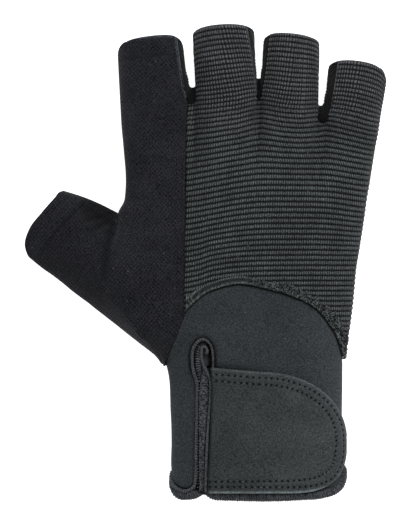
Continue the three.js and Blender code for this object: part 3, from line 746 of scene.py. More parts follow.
def ribbed_cloth():
    """The charcoal cloth of the back, with its beads laid out by the UV map."""
    cloth = Cloth("ribbed cloth", sheen=0.05)
    layout = cloth.node("UVMap")
    place = cloth.place()
    u, v = (cloth.node("SeparateXYZ", {0: layout}, output=axis) for axis in (0, 1))
    x, y = (cloth.node("SeparateXYZ", {0: place}, output=axis) for axis in (0, 1))
    finger = cloth.fit(y, *OPENS, 0, 1)
    wander = cloth.math("MULTIPLY", cloth.noise(place, 2.0), 1.6)
    waffle = cloth.math("MULTIPLY", finger, cloth.fit(y, *TIGHTENS, 1, 0.5))

    def beads(pitch):
        """Beads along a rib: 1 in the middle of each and 0 between them."""
        turn = cloth.math("MULTIPLY_ADD", cloth.math("DIVIDE", u, pitch), 2 * math.pi, wander)
        return cloth.math("MULTIPLY_ADD", cloth.math("COSINE", turn), 0.5, 0.5)

    finger_pitch = cloth.fit(x, *MIDDLE_FINGER_ENDS, MIDDLE_BEADS, OTHER_BEADS)
    bead = cloth.node("Mix", {0: finger, 2: beads(HAND_BEADS), 3: beads(finger_pitch)})
    # the crests are painted light and the gaps dark: partly the knit's pattern, partly painted light
    # and shade of the ribs
    rib = cloth.math("ABSOLUTE", cloth.math("SINE", cloth.math("MULTIPLY", v, math.pi / RIB_PITCH)))
    gap = cloth.math("MULTIPLY", bead, cloth.fit(finger, 0, 1, 0.02, 0.12))
    strength, base = cloth.fit(waffle, 0, 1, 0.95, 1.15), cloth.fit(waffle, 0, 1, 0.16, 0.08)
    crest = cloth.math("MULTIPLY_ADD", bead, strength, base)
    factor = cloth.node("Mix", {0: cloth.fit(rib, 0.32, 0.9, 0, 1), 2: gap, 3: crest})
    grain = cloth.noise(place, 0.6, 1.0, 0.6)
    lint, lint_share = cloth.fit(grain, 0.3, 0.7, -0.45, 0.45), cloth.fit(factor, 0, 0.6, 0.25, 1)
    factor = cloth.math("MULTIPLY_ADD", lint, lint_share, factor)
    factor = cloth.math("ADD", factor, cloth.specks(place, apart=6.0, size=0.4, strength=1.0))
    ends = {0: finger, 6: RIB_LIGHT_HAND, 7: RIB_LIGHT_FINGERS}
    light = cloth.node("Mix", ends, output=2, data_type="RGBA")
    cloth.dye(RIB_DARK, light, cloth.math("MAXIMUM", factor, 0.0))
    cloth.bump(cloth.math("MULTIPLY_ADD", bead, 0.5, grain), 0.25)
    return cloth.material


# %% [markdown]
# The foam-backed cloth of cuff and strap has an even grain with a few pale specks of lint. The
# strips, the bindings and the hook tape share a plainer cloth, each with its own size of grain.

# %% Smooth cloth, knits and the list of cloths
def foam_cloth(name, dark, light):
    """An even cloth with specks of lint."""
    cloth = Cloth(name, sheen=0.05)
    place = cloth.place()
    grain = cloth.noise(place, 0.6, 1.0, 0.6)
    patch = cloth.noise(place, 6.0, 3.0)
    factor = cloth.math("MULTIPLY_ADD", patch, 0.4, cloth.fit(grain, 0.33, 0.67, -0.25, 0.95))
    factor = cloth.math("ADD", factor, cloth.specks(place, apart=5.0, size=0.36, strength=2.4))
    cloth.dye(dark, light, factor)
    cloth.bump(grain, 0.12)
    return cloth.material


def knit_cloth(name, dark, light, size):
    """A plain cloth whose grain is about this many millimetres wide."""
    cloth = Cloth(name, sheen=0.1)
    place = cloth.place()
    grain = cloth.noise(place, size, 3.0, 0.75)
    cloth.dye(dark, light, cloth.fit(grain, 0.3, 0.7, 0, 1))
    cloth.bump(grain, 0.3)
    return cloth.material


MATERIALS = {
    "suede": suede_cloth(),
    "ribbed_cloth": ribbed_cloth(),
    "side_strip": knit_cloth("side strip", (0.0025, 0.0025, 0.003), (0.0115, 0.012, 0.0135), 0.8),
    "cuff_cloth": foam_cloth("cuff cloth", (0.02, 0.0235, 0.0265), (0.045, 0.052, 0.0575)),
    "strap_cloth": foam_cloth("strap cloth", (0.024, 0.0285, 0.03), (0.054, 0.062, 0.065)),
    "binding": knit_cloth("binding", (0.012, 0.0135, 0.0155), (0.08, 0.088, 0.096), 0.7),
    "hook_fastener": knit_cloth("hook fastener", (0.006, 0.006, 0.0065), (0.02, 0.02, 0.021), 0.5),
}
print(len(MATERIALS), "cloths")

# %% [markdown]
# ## Wear and unevenness
#
# Cloth is never quite even. Smooth random lumps, always the same ones, give the sheets their
# slight waves and the sewn edges their crumbs. A crease is a narrow valley along a short line.

# %% Lumps and creases
LUMP_TABLE = 128
# keeps every place in the lumps' own table above 0
LUMP_SHIFT = 500


def lumps(x, y, size, seed):
    """Smooth random lumps about this many millimetres wide, between -1 and 1."""
    values = np.random.default_rng(seed).uniform(-1, 1, (LUMP_TABLE, LUMP_TABLE))
    u, v = np.asarray(x) / size + LUMP_SHIFT, np.asarray(y) / size + LUMP_SHIFT
    i, j = np.floor(u).astype(int), np.floor(v).astype(int)
    f, g = (t * t * (3 - 2 * t) for t in (u - i, v - j))

    def corner(a, b):
        """The table's values at one corner of the square that each place lies in."""
        return values[(i + a) % LUMP_TABLE, (j + b) % LUMP_TABLE]

    return lerp(lerp(corner(0, 0), corner(1, 0), f), lerp(corner(0, 1), corner(1, 1), f), g)


def nearest(x, y, line, at):
    """How far points are from a line, and how far along it the nearest place is."""
    away, along = np.empty(x.size), np.empty(x.size)
    for part in np.array_split(np.arange(x.size), 40):
        gaps = np.hypot(x.flat[part][:, None] - line[:, 0], y.flat[part][:, None] - line[:, 1])
        best = gaps.argmin(axis=1)
        away[part], along[part] = gaps[np.arange(len(part)), best], at[best]
    return away.reshape(x.shape), along.reshape(x.shape)


def crease(x, y, line, width):
    """1 in the middle of a crease along a line of points, 0 away from it."""
    depth = np.zeros(np.shape(x))
    for (ax, ay), (bx, by) in zip(line, line[1:]):
        run_x, run_y = bx - ax, by - ay
        t = np.clip(((x - ax) * run_x + (y - ay) * run_y) / (run_x**2 + run_y**2), 0, 1)
        depth = np.maximum(depth, hill(np.hypot(x - ax - t * run_x, y - ay - t * run_y), 0, width))
    return depth


# %% [markdown]
# ## The suede back with its thumb
#
# One hide covers the index finger, the side of the hand and the upper half of the thumb. The
# grid's columns run from the thumb's open end, through its mouth at column 0, to the seam. The
# lower half of the thumb is a second grid that meets the first one along the thumb's sides.

# %% Points of the thumb
# how far the thumb's two edges bulge, and how much more and how much nearer its mouth the lower
# one does
THUMB_BULGE = 0.9
LOWER_BULGE = 1.4
LOWER_BULGE_BEND = 0.45


def mouth_level(turn):
    """The y of the thumb's mouth at a turn round it."""
    return lerp(THUMB_HEEL_Y, THUMB_CROTCH_Y, (1 + reach(turn, THUMB_ROUND)) / 2)


def thumb_point(turn, along):
    """A point on the thumb: turn as on a finger, along from its mouth to its open end."""
    over = turn >= 0
    lift = np.abs(np.sin(turn))
    place = reach(turn, lerp(THUMB_ROUND, np.where(over, THUMB_END_ROUND, PALM_ROUND), along))
    mouth_y = mouth_level(turn)
    share = thumb_share(mouth_y)
    half = height_line(mouth_y) / 2
    x = lerp(left_line(mouth_y), thumb_end_x(place), along)
    lower = place < 0
    bulge = THUMB_BULGE * place**3 * np.sin(np.pi * along ** np.where(lower, LOWER_BULGE_BEND, 1))
    y = lerp(mouth_y, thumb_end_y(place), along) + bulge * np.where(lower, LOWER_BULGE, 1)
    mouth_z = half * np.where(over, 1 + share, 1 - share)
    end_z = THUMB_HEIGHT / 2 * np.where(over, 1 + lift, 1 - PALM_PRESS * lift)
    z = np.maximum(0, lerp(mouth_z, end_z, along) - np.where(over, fold_depth(x, y), 0))
    return np.stack([x, y, z], -1)


def thumb_turn(y):
    """The turn of the mouth at a level of the hand."""
    place = (2 * y - THUMB_CROTCH_Y - THUMB_HEEL_Y) / (THUMB_CROTCH_Y - THUMB_HEEL_Y)
    place = np.clip(place, -1, 1)
    return np.arccos(np.sign(place) * np.abs(place) ** (THUMB_ROUND / 2))


# %% [markdown]
# A panel's grid needs one function for all of its points: on the thumb, on the hand and on the
# stalls. Near its borders a grid has closer rows, so that the turned edge comes out round.

# %% Points of a panel
def panel_point(column, level, over):
    """A hand panel at a column and a level: 0 at its lower edge, 1 at the roots, 2 at the ends."""
    on_hand = np.maximum(column, 0)
    root, _, _, foot = hand_line(on_hand, over)
    point = hand_at(on_hand, lerp(foot, root[..., 1], np.minimum(level, 1)), over)
    above_root = level > 1
    point[above_root] = on_stalls(on_hand[above_root], level[above_root] - 1, over)
    thumb = (column < 0) & ~above_root
    point[thumb] = thumb_point(thumb_turn(point[..., 1][thumb]), -column[thumb])
    return point


def middles(values):
    """The value halfway between each two neighbours."""
    return (values[1:] + values[:-1]) / 2


def spread(start, stop, steps, edge=0.0):
    """Evenly spaced values, with closer ones at each end where edge is more than 0."""
    values = np.linspace(start, stop, steps + 1)
    if edge:
        closer = [start + edge, start + 2.5 * edge, stop - 2.5 * edge, stop - edge]
        values = np.concatenate([values, closer])
    return np.unique(np.round(values, 6))


# %% [markdown]
# The suede folds where the thumb leaves the hand: a dent beside the crotch, a raised pleat below
# it and a few thin creases. The hems of the thumb and the index finger show as pressed lines. The
# dent, the creases and the hems get painted shade, and the pleat a painted highlight.

# %% Creases of the suede
PLEAT = [(-36.2, 19.5), (-37.4, 12.6), (-39.1, 5.9)]
PLEAT_WIDTH = 1.1
# x and y along a crease, its width, its depth and how much painted shade it gets
CREASES = [
    ([(-48, 22), (-41, 18.5)], 4.2, 1.5, 0.62),
    ([(-38, 15.5), (-41, 3.4), (-42.6, -5)], 1.7, 1, 0.45),
    ([(-50.8, 24.8), (-57, 18.4), (-63, 12.2), (-67.2, 5)], 0.6, 0.5, 0.45),
    ([(-37, 19.4), (-47.5, 13.4)], 1.1, 0.5, 0.3),
    ([(-40, 20.6), (-49.5, 17.5)], 1.1, 0.5, 0.3),
    ([(-12.5, -20), (-9.5, -22.5)], 0.7, 0.3, 0.3),
    ([(-13.5, -25), (-10.5, -27)], 0.7, 0.3, 0.3),
    ([(-14.5, -30), (-12.2, -31)], 0.7, 0.3, 0.3),
]
# the suede's lower corner, how far round it the cloth hangs, and where it hangs to
HEEL = (-16.5, -42)
HEEL_REACH = 3.5
HEEL_HANG = (-0.8, -1.8)


def suede_relief(x, y, hem):
    """How far the suede's face moves outwards, and how bright it is: random tone, painted shade in
    the creases and on the hem, and a painted highlight on the pleat. hem is 1 on a pressed hem.
    """
    out = 0.3 * lumps(x, y, 11, 1) + 0.1 * lumps(x, y, 4, 2)
    shade = 1 + 0.16 * lumps(x, y, 8, 3)
    for line, width, depth, dark in CREASES:
        valley = crease(x, y, line, width)
        out = out - depth * valley
        # painted shade in the crease
        shade = shade * (1 - dark * valley)
    ridge = crease(x, y, PLEAT, PLEAT_WIDTH)
    out = out + 0.6 * ridge - 0.3 * hem
    # a painted highlight on the pleat and painted shade on the pressed hem
    return out, shade * (1 + 0.75 * ridge) * (1 - 0.4 * hem)


def hang_heel(points, lift):
    """Let the suede's lower corner hang over the cuff, raised by lift."""
    near = hill(np.hypot(points[..., 0] - HEEL[0], points[..., 1] - HEEL[1]), 0, HEEL_REACH)
    return points + near[..., None] * np.array([*HEEL_HANG, lift])


# %% [markdown]
# The back's grid has columns on the thumb, on the index finger and on half of the first crotch.
# Its rows start at the dome, follow the thumb's mouth step by step, and end at the fingertip. The
# cells beside the mouth that belong to neither hand nor thumb are left out.

# %% Grid of the suede back
MOUTH_STEPS = 60
mouth_sides = np.linspace(0.93 * math.pi, 0.07 * math.pi, MOUTH_STEPS)
mouth_turns = np.concatenate([[math.pi], mouth_sides, [0.0]])
index_root_y = float(root_point(np.array([0.0]), True)[0, 1])
hand_levels = (mouth_level(mouth_turns) - WRIST_Y) / (index_root_y - WRIST_Y)
above_mouth = np.linspace(hand_levels[-1], 1, 40)[1:]
stall_levels = spread(1, 2, 36, 0.012)[1:]
back_levels = np.concatenate([[0, hand_levels[0] / 2], hand_levels, above_mouth, stall_levels])
thumb_columns, index_columns = spread(-1, 0, 38, 0.008), spread(0, 1, 38, 0.012)
crotch_columns = spread(1, SEAM_COLUMN, 3)
back_columns = np.unique(np.concatenate([thumb_columns, index_columns, crotch_columns]))
columns, levels = np.meshgrid(back_columns, back_levels, indexing="ij")
back_points = panel_point(columns, levels, True)
middle_column, middle_level = middles(back_columns)[:, None], middles(back_levels)
in_mouth = (middle_level > hand_levels[0]) & (middle_level < hand_levels[-1])
back_keep = np.where(middle_column < 0, in_mouth, (middle_column < 1) | (middle_level < 1))
print("the suede back has", int(back_keep.sum()), "cells")

# %% [markdown]
# Now the face gets its creases. Towards the strip the edge is piped: a narrow roll with a painted
# highlight along it. Elsewhere the seam gets painted shade, and the thumb, which gets less light,
# is painted darker. At the outer side the suede only runs on round the hand, so it hardly turns
# under.

# %% Suede over index finger and thumb
SUEDE = 1.2
SEAM_DROP = 0.7
SIDE_DROP = 0.05
OUTER_SIDE = (-0.98, 0.3)
INDEX_HEM_Y = 86.3
INDEX_HEM_LEAN = 0.12
INDEX_MIDDLE_X = -22
HEM_LINE = 0.5
PIPING_IN, PIPING, PIPING_HIGHLIGHT = 0.5, 0.45, 2.6
THUMB_SHADE = 0.82

far = edge_distance(back_points, back_keep)
at_side = (columns > OUTER_SIDE[0]) & (columns < OUTER_SIDE[1])
drop = turned_edge(far, SEAM_DROP) * np.where(at_side, SIDE_DROP, 1)
x, y = back_points[..., 0], back_points[..., 1]
hem_y = INDEX_HEM_Y + INDEX_HEM_LEAN * (x - INDEX_MIDDLE_X)
index_hem = hill(y, hem_y, HEM_LINE) * ease(-x, 12, 26) * (levels > 1)
out, shade = suede_relief(x, y, index_hem)
out = out * ease(far, 0, 2.5)
piped = (levels > 1) & (columns > 0.5)
# painted shade along the seam, except on the piped edge
shade = shade * seam_shade(far, np.where(piped, 1, 0.4), 0.8)
# painted highlight along the piping
shade = shade * (1 + PIPING_HIGHLIGHT * piped * hill(far, PIPING_IN, PIPING))
# painted shade on the thumb
shade = shade * lerp(1, THUMB_SHADE, ease(-columns, 0, 0.3))
back_points = back_points + grid_normals(back_points) * (out - drop)[..., None]
suede_back = grid_piece("suede_back", hang_heel(back_points, 0.5), back_keep, shade=shade)

turns, alongs = np.meshgrid(-mouth_turns, spread(0, 1, 38, 0.008), indexing="ij")
under_points = thumb_point(turns, alongs)
drop = turned_edge(edge_distance(under_points), SEAM_DROP) * SIDE_DROP
under_normals = -grid_normals(under_points[:, ::-1])[:, ::-1]
under_points = under_points + under_normals * drop[..., None]
thumb_under = grid_piece("thumb_under", hang_heel(under_points, 0))
finish_sheet(suede_back, SUEDE, "suede", ["index_panel"])
finish_sheet(thumb_under, SUEDE, "suede", ["thumb_stall"], flip=True)

# %% [markdown]
# ## The palm
#
# The palm is one more sheet of the same suede, laid on the flatter underside.

# %% Suede palm
def finger_columns(first, across, round_crotch):
    """Columns from the first one to 7: steps across each stall and round each crotch."""
    parts = [spread(2 * k, 2 * k + 1, across, 0.012) for k in range(4)]
    parts += [spread(2 * k + 1, 2 * k + 2, round_crotch) for k in range(3)]
    values = np.unique(np.round(np.concatenate(parts), 6))
    return values[values >= first]


palm_levels = np.concatenate([spread(0, 1, 90, 0.006), stall_levels])
palm_columns = finger_columns(0, 22, 6)
columns, levels = np.meshgrid(palm_columns, palm_levels, indexing="ij")
palm_points = panel_point(columns, levels, False)
on_stall = np.floor(middles(palm_columns))[:, None] % 2 == 0
palm_keep = on_stall | (middles(palm_levels) < 1)
far = edge_distance(palm_points, palm_keep)
x, y = palm_points[..., 0], palm_points[..., 1]
rise = turned_edge(far, SEAM_DROP) / 2
palm_points = palm_points + grid_normals(palm_points) * rise[..., None]
# random tone, and painted shade along the palm's seams
shade = (1 + 0.1 * lumps(x, y, 8, 4)) * seam_shade(far, 0.5, 1.2)
palm_suede = grid_piece("palm_suede", hang_heel(palm_points, 0), palm_keep, shade=shade)
finish_sheet(palm_suede, SUEDE, "suede", ["palm_panel"], flip=True)

# %% [markdown]
# ## The ribbed back
#
# The ribs bend: they arch over the knuckles and are pulled up towards the crotches. So each row
# of this grid isn't a level of the hand but a line of equal phase, and a rib is seven rows. The
# table says how far the ribs rise above a straight line at each place across.

# %% How the ribs bend
# x, rise of the ribs over the knuckles, and below the hand's middle
RIB_ARCH = [
    (-8, -3.6, -4.6),
    (-2.5, -2.8, -3.4),
    (2.5, -1.85, -1.6),
    (7.6, -0.9, -0.65),
    (12.6, 0, 0),
    (22, 0.95, 0.45),
    (33, 1.25, 0.75),
    (43, 1.2, 0.85),
    (53, 0.65, 0.7),
    (63, -0.6, 0.8),
    (73, -1.5, 0.85),
]
# x, how far the crotches and knuckles pull the ribs
RIB_PULL = [
    (-2.5, 0.9),
    (2.5, 0.3),
    (12.6, 0),
    (17.6, 0.8),
    (22.9, 1.75),
    (27.7, 0.7),
    (32.8, -0.45),
    (40, -1.0),
    (47.9, 0.3),
    (51, 0.9),
    (52.9, 0.7),
    (58, 0),
    (63, -0.7),
    (68, -1.8),
    (73, -2.3),
]
# y, share of that pull
RIB_FADE = [(30, 0.05), (38, 0.2), (51, 0.65), (58, 0.95), (65, 1)]
# y, count of ribs up to there times their pitch: the cloth is stretched on the hand
RIB_LEVELS = [
    (-50, -51.9),
    (0, 0),
    (9.2, 9.5),
    (21.8, 22.1),
    (51.2, 50.4),
    (57.5, 56.9),
    (63.8, 63.9),
    (76.4, 78.5),
    (84.8, 87.7),
    (102, 105.6),
]
# levels between which the lower arch turns into the upper one
ARCH_TURNS = (-2, 24)
arch_high, arch_low = smooth_line(RIB_ARCH, 1), smooth_line(RIB_ARCH, 2)
rib_pull, rib_fade = smooth_line(RIB_PULL, 1), smooth_line(RIB_FADE, 1)
rib_count = smooth_line(RIB_LEVELS, 1)
count_levels = np.linspace(RIB_LEVELS[0][0], RIB_LEVELS[-1][0], 800)


def level_of(count):
    """The y at which this count of ribs is reached."""
    return np.interp(count, rib_count(count_levels), count_levels)


def rib_rise(x, y):
    """How far the ribs rise above a straight line at a place."""
    return lerp(arch_low(x), arch_high(x), ease(y, *ARCH_TURNS)) + rib_pull(x) * rib_fade(y)


print("ribs on the back", round((RIB_LEVELS[-1][1] - RIB_LEVELS[0][1]) / RIB_PITCH))

# %% [markdown]
# For each column we look up the phase at its root, its tip and the dome, hold the row's phase
# between those, and then find the level where the rib of that phase crosses the column.

# %% Grid of the ribbed cloth
RIB_ROWS = 7
FIRST_PHASE = -46
ROUNDS = 6

rib_columns = finger_columns(SEAM_COLUMN, 28, 8)
on_finger = (rib_columns % 2 <= 1)[:, None]
root = root_point(rib_columns, True)
root_y, end_y = root[:, 1], on_stalls(rib_columns, np.ones(len(rib_columns)), True)[:, 1]
root_rise = rib_rise(root[:, 0], root_y)
tip_count = np.zeros(len(rib_columns))
for k in (1, 2, 3):
    from_middle = np.abs(rib_columns - 2 * k - 0.5)
    middle = from_middle.argmin()
    tip_count[from_middle < 1] = rib_count(end_y[middle]) - root_rise[middle]
shares = np.linspace(0, 1, 40)
stall_count = rib_count(lerp(root_y[:, None], end_y[:, None], shares))
stall_count -= lerp(root_rise[:, None], (rib_count(end_y) - tip_count)[:, None], shares)

rib_phases = np.arange(FIRST_PHASE, tip_count.max() + 0.4, RIB_PITCH / RIB_ROWS)
columns, phases = np.meshgrid(rib_columns, rib_phases, indexing="ij")
root, _, _, foot = hand_line(columns, True)
root_phase = rib_count(root[..., 1]) - rib_rise(root[..., 0], root[..., 1])
tip_phase = np.where(on_finger, tip_count[:, None], root_phase)
foot_phase = rib_count(foot) - rib_rise(hand_at(columns, foot, True)[..., 0], foot)
held = np.clip(phases, foot_phase, tip_phase)
in_hand = held <= root_phase
level = level_of(held)
for _ in range(ROUNDS):
    level = np.clip(level, foot, root[..., 1])
    level = level_of(held + rib_rise(hand_at(columns, level, True)[..., 0], level))
rib_points = hand_at(columns, np.clip(level, foot, root[..., 1]), True)
along = np.stack([np.interp(*pair, shares) for pair in zip(held, stall_count)])
rib_points[~in_hand] = on_stalls(columns[~in_hand], along[~in_hand], True)
print("the ribbed cloth's grid is", rib_points.shape[0], "by", rib_points.shape[1], "points")

# %% [markdown]
# Cells beyond the tips, the crotches or the dome are left out. The layout for the beads counts
# the true width of the cloth from the middle of the hand, and on a finger keeps its root's count.

# %% Pattern and layout of the ribbed cloth
def cells(values, pick):
    """For each cell of a grid, the largest or smallest of its four corners."""
    return pick.reduce([values[1:, 1:], values[:-1, 1:], values[1:, :-1], values[:-1, :-1]])


crotch_cell = np.floor(middles(rib_columns))[:, None] % 2 == 1
ceiling = np.where(crotch_cell, cells(root_phase, np.maximum), cells(tip_phase, np.maximum))
rib_keep = (phases[:-1, 1:] > cells(foot_phase, np.minimum)) & (phases[:-1, :-1] < ceiling)
print("the ribbed cloth keeps", int(rib_keep.sum()), "cells")

COUNT_FROM_X = 14
steps = np.hypot(np.diff(rib_points[..., 0], axis=0), np.diff(rib_points[..., 2], axis=0))
across = np.concatenate([np.zeros((1, len(rib_phases))), np.cumsum(steps, axis=0)])
middle = np.abs(rib_points[..., 0] - COUNT_FROM_X).argmin(axis=0)
across = across - across[middle, np.arange(len(rib_phases))]
last_row = np.clip((phases <= root_phase).sum(axis=1) - 1, 0, None)
at_root = across[np.arange(len(rib_columns)), last_row][:, None]
across = np.where(phases <= root_phase, across, at_root)

# %% [markdown]
# Each rib is a real ridge of the mesh, with painted shade in the gaps between the ribs and along
# the seams. A stitched line, pressed in and painted a little darker, crosses the fingers near
# their open ends. A painted highlight runs along each open end and beside the strips, where the
# cloth is folded over their seam. The grid parts at the crotches, so above its root each finger
# works out its normals for itself.

# %% Ribbed cloth
RIBBED = 1.4
RIB_RELIEF = 0.5
RIB_HEM = 8.4
HEM_DEPTH = 0.25
NO_TIP = 99
LAST_STRIP_COLUMN = 6.5
OUTER_COLUMN = 6.7

far = edge_distance(rib_points, rib_keep)
from_tip = np.where(on_finger, tip_phase - held, NO_TIP)
hem = hill(from_tip, RIB_HEM, HEM_LINE)
profile = np.abs(np.sin(np.pi * phases / RIB_PITCH)) ** 0.9 - 0.6
x, y = rib_points[..., 0], rib_points[..., 1]
out = RIB_RELIEF * profile + 0.15 * lumps(x, y, 9, 5) - HEM_DEPTH * hem
# random tone, painted shade along the seams and in the hem's pressed line
shade = (1 + 0.16 * lumps(x, phases, 5, 6)) * seam_shade(far, 0.4, 0.7) * (1 - 0.15 * hem)
# painted shade in the gaps between the ribs
shade = shade * lerp(0.72, 1, ease(profile, -0.45, 0.2))
on_stall = on_finger & (phases > root_phase)
beside_strip = on_stall & (columns < LAST_STRIP_COLUMN) & (from_tip > 1)
# painted highlights on the folded open ends and on the edge beside the strips
shade = shade * (1 + 0.5 * (from_tip < 0.8) + 1.5 * beside_strip * hill(far, 0, 0.9))
drop = turned_edge(far, SEAM_DROP) * np.where(columns > OUTER_COLUMN, SIDE_DROP, 1)
normals = grid_normals(rib_points)
for k in (1, 2, 3):
    own = (rib_columns >= 2 * k) & (rib_columns <= 2 * k + 1)
    own_normals = grid_normals(rib_points[own])
    normals[own] = np.where(in_hand[own][..., None], normals[own], own_normals)
rib_points = rib_points + normals * (out - drop)[..., None]
layout = np.stack([across, phases], -1)
ribbed_back = grid_piece("ribbed_back", rib_points, rib_keep, layout, shade)
weld(ribbed_back, 0.02)
finish_sheet(ribbed_back, RIBBED, "ribbed_cloth", ["back_panel"])

# %% [markdown]
# ## The strips between the fingers
#
# Each strip runs down the side of one finger, round the crotch and up the next one. In the
# crotch its middle bulges towards the fingertips, because the cloth is pushed up there.

# %% Points of a strip
STRIP_OVERLAP = 0.04
# how far each strip's middle bulges up in its crotch
WEBS = [6.8, 9.4, 6.8]


def near_crotch(runs, low, high):
    """1 in the crotch, falling to 0 towards both fingertips."""
    return ease(1.5 - np.abs(runs - 1.5), low, high)


def strip_points(k, runs, drops):
    """A strip: run is 0 at the left finger's end, 1 to 2 round the crotch, 3 at the right one's."""
    place = lerp(-STRIP_OVERLAP, 1 + STRIP_OVERLAP, drops)
    up_left, up_right = np.clip(1 - runs, 0, 1), np.clip(runs - 2, 0, 1)
    left_turn = lerp(seam_turn(k, RIGHT, True, up_left), seam_turn(k, RIGHT, False), place)
    over_turn = seam_turn(k + 1, LEFT, True, up_right)
    under_turn = seam_turn(k + 1, LEFT, False) + 2 * math.pi
    right_turn = lerp(over_turn, under_turn, place)
    right_turn = np.where(right_turn > math.pi, right_turn - 2 * math.pi, right_turn)
    points = crotch_point(k, left_turn, right_turn, np.clip(runs - 1, 0, 1))
    before, after = runs < 1, runs > 2
    points[before] = stall_point(k, left_turn[before], 1 - runs[before])
    points[after] = stall_point(k + 1, right_turn[after], runs[after] - 2)
    points[..., 1] += WEBS[k] * near_crotch(runs, 0.35, 1) * np.sin(np.pi * drops) ** 0.6
    return points


# %% [markdown]
# All three strips use the same grid. Light hardly reaches the crotches, so they get painted
# shade, as do the strips' seams, and slow streaks run along the strips, because the knit is
# stretched more in some places.

# %% Knit strips
SIDE_STRIP = 1.1
WRINKLE = 0.12
WRINKLE_PITCH = 1.3
CROTCH_SHADE = 0.3
STRIPS = ["index_middle_strip", "middle_ring_strip", "ring_little_strip"]
way_down, round_crotch = spread(0, 1, 26, 0.02), np.linspace(1, 2, 11)[1:]
way_up = spread(2, 3, 26, 0.02)[1:]
run_steps = np.concatenate([way_down, round_crotch, way_up])
runs, drops = np.meshgrid(run_steps, spread(0, 1, 24, 0.02), indexing="ij")
for k, node in enumerate(STRIPS):
    points = strip_points(k, runs, drops)
    far = edge_distance(points)
    wrinkles = WRINKLE * np.sin(points[..., 1] * 2 * math.pi / WRINKLE_PITCH)
    out = wrinkles * ease(far, 0, 1) - turned_edge(far, 0.9)
    points = points + grid_normals(points) * out[..., None]
    # painted shade at the seams and in the crotch
    shade = seam_shade(far, 0.5, 1, start=0.5) * lerp(1, CROTCH_SHADE, near_crotch(runs, 0.75, 1.05))
    shade = shade * (1 + 0.5 * lumps(14 * drops, points[..., 1], 2.5, 40 + k))
    strip = grid_piece(f"knit_{node}", points, shade=shade)
    finish_sheet(strip, SIDE_STRIP, "side_strip", [node])

# %% [markdown]
# ## The cuff
#
# The cuff is a tube of foam-backed cloth with a dome on its back. We cut the slit through it
# with a Boolean, as a cutter would press a die through the cloth. The cutter is a filled circle
# of corners, laid along the slit's outline and extruded downwards.

# %% Points of the cuff
SMALL_STEP = 1e-3


def cuff_skin(turn, y):
    """A point on the cuff: turn as on a finger, and the level."""
    over = turn >= 0
    level = np.minimum(y, WRIST_Y)
    left, right = left_line(level), right_line(level)
    place = np.where(over, reach(turn, BACK_ROUND), reach(turn, PALM_ROUND))
    x = lerp(left, right, (1 + place) / 2)
    z = np.where(over, back_height(x, y), palm_height(x, level))
    return np.stack([x, y, z], -1)


def hem_level(turn):
    """The y of the hem at a turn round the wrist."""
    return hem_line((1 - np.sin(turn)) / 2)


def off_cuff(turn, y, away):
    """A point off the skin of the cuff, outwards."""
    along_u = cuff_skin(turn + SMALL_STEP, y) - cuff_skin(turn - SMALL_STEP, y)
    along_v = cuff_skin(turn, y + SMALL_STEP) - cuff_skin(turn, y - SMALL_STEP)
    return cuff_skin(turn, y) - unit(np.cross(along_u, along_v)) * np.asarray(away)[..., None]


# %% [markdown]
# The bindings and the slit follow lines. A few corners, read off the photograph, give most of
# these lines, and a smooth curve through the corners is divided into even steps.

# %% Smooth lines
def resample(line, step):
    """Evenly spaced points along a line of points, and how far along each of them is."""
    length = np.concatenate([[0], np.cumsum(np.linalg.norm(np.diff(line, axis=0), axis=1))])
    at = np.linspace(0, length[-1], max(3, int(round(length[-1] / step)) + 1))
    return np.stack([np.interp(at, length, column) for column in line.T], -1), at


def smooth_path(corners, step=0.3):
    """A smooth line through a few corners, as evenly spaced points."""
    corners = np.array(corners, float)
    gaps = np.linalg.norm(np.diff(corners, axis=0), axis=1) ** 0.5
    at = np.concatenate([[0], np.cumsum(gaps)])
    slope = np.gradient(corners, at, axis=0)
    fine = np.linspace(0, at[-1], 40 * len(corners))
    i = np.clip(np.searchsorted(at, fine, side="right") - 1, 0, len(at) - 2)
    width = (at[i + 1] - at[i])[:, None]
    t = (fine - at[i])[:, None] / width
    line = corners[i] * (2 * t**3 - 3 * t**2 + 1) + corners[i + 1] * (3 * t**2 - 2 * t**3)
    line = line + width * (slope[i] * (t**3 - 2 * t**2 + t) + slope[i + 1] * (t**3 - t**2))
    return resample(line, step)[0]


def on_back(path, lift):
    """A line in the plan lifted onto the back of the cuff, this far above it."""
    return np.column_stack([path[:, 0], path[:, 1], back_height(path[:, 0], path[:, 1]) + lift])


# %% [markdown]
# The line of the binding gives the slit too: it comes along the hem of the left flap, turns up
# into the slit, and runs up the left side, round the keyhole and down again on the right, where
# the strap covers it.

# %% Lines of the slit
# x, y along the hem of the left flap
FLAP_LINE = [
    (-14.6, -90.4),
    (-13.2, -93.6),
    (-10.6, -95.4),
    (-7.4, -95.5),
    (-4.9, -94),
    (-3.9, -90.5),
]
# x, y along the middle of the slit's binding
SLIT_LINE = [
    (-3.7, -99),
    (-3.7, -80),
    (-3.3, -60),
    (-3.5, -50),
    (-4.8, -45.5),
    (-5.4, -40.7),
    (-5.0, -36.5),
    (-3, -33.3),
    (-0.4, -32.3),
    (2.1, -34.3),
    (3.2, -38),
    (3.3, -45),
    (3.3, -52),
]
slit_path = smooth_path(SLIT_LINE, 0.6)
print("the binding of the slit has", len(slit_path), "points")


def from_slit(x, y):
    """How far places are from the middle of the slit's binding."""
    return nearest(x, y, slit_path, np.zeros(len(slit_path)))[0]


# %% [markdown]
# The tube's grid runs from the hem to the dome. We shade it dark round the keyhole, along its
# edges, at the flap's hem and above the strap, where the photograph shows a soft shadow.

# %% Foam-backed tube
CUFF_WALL = 2.4
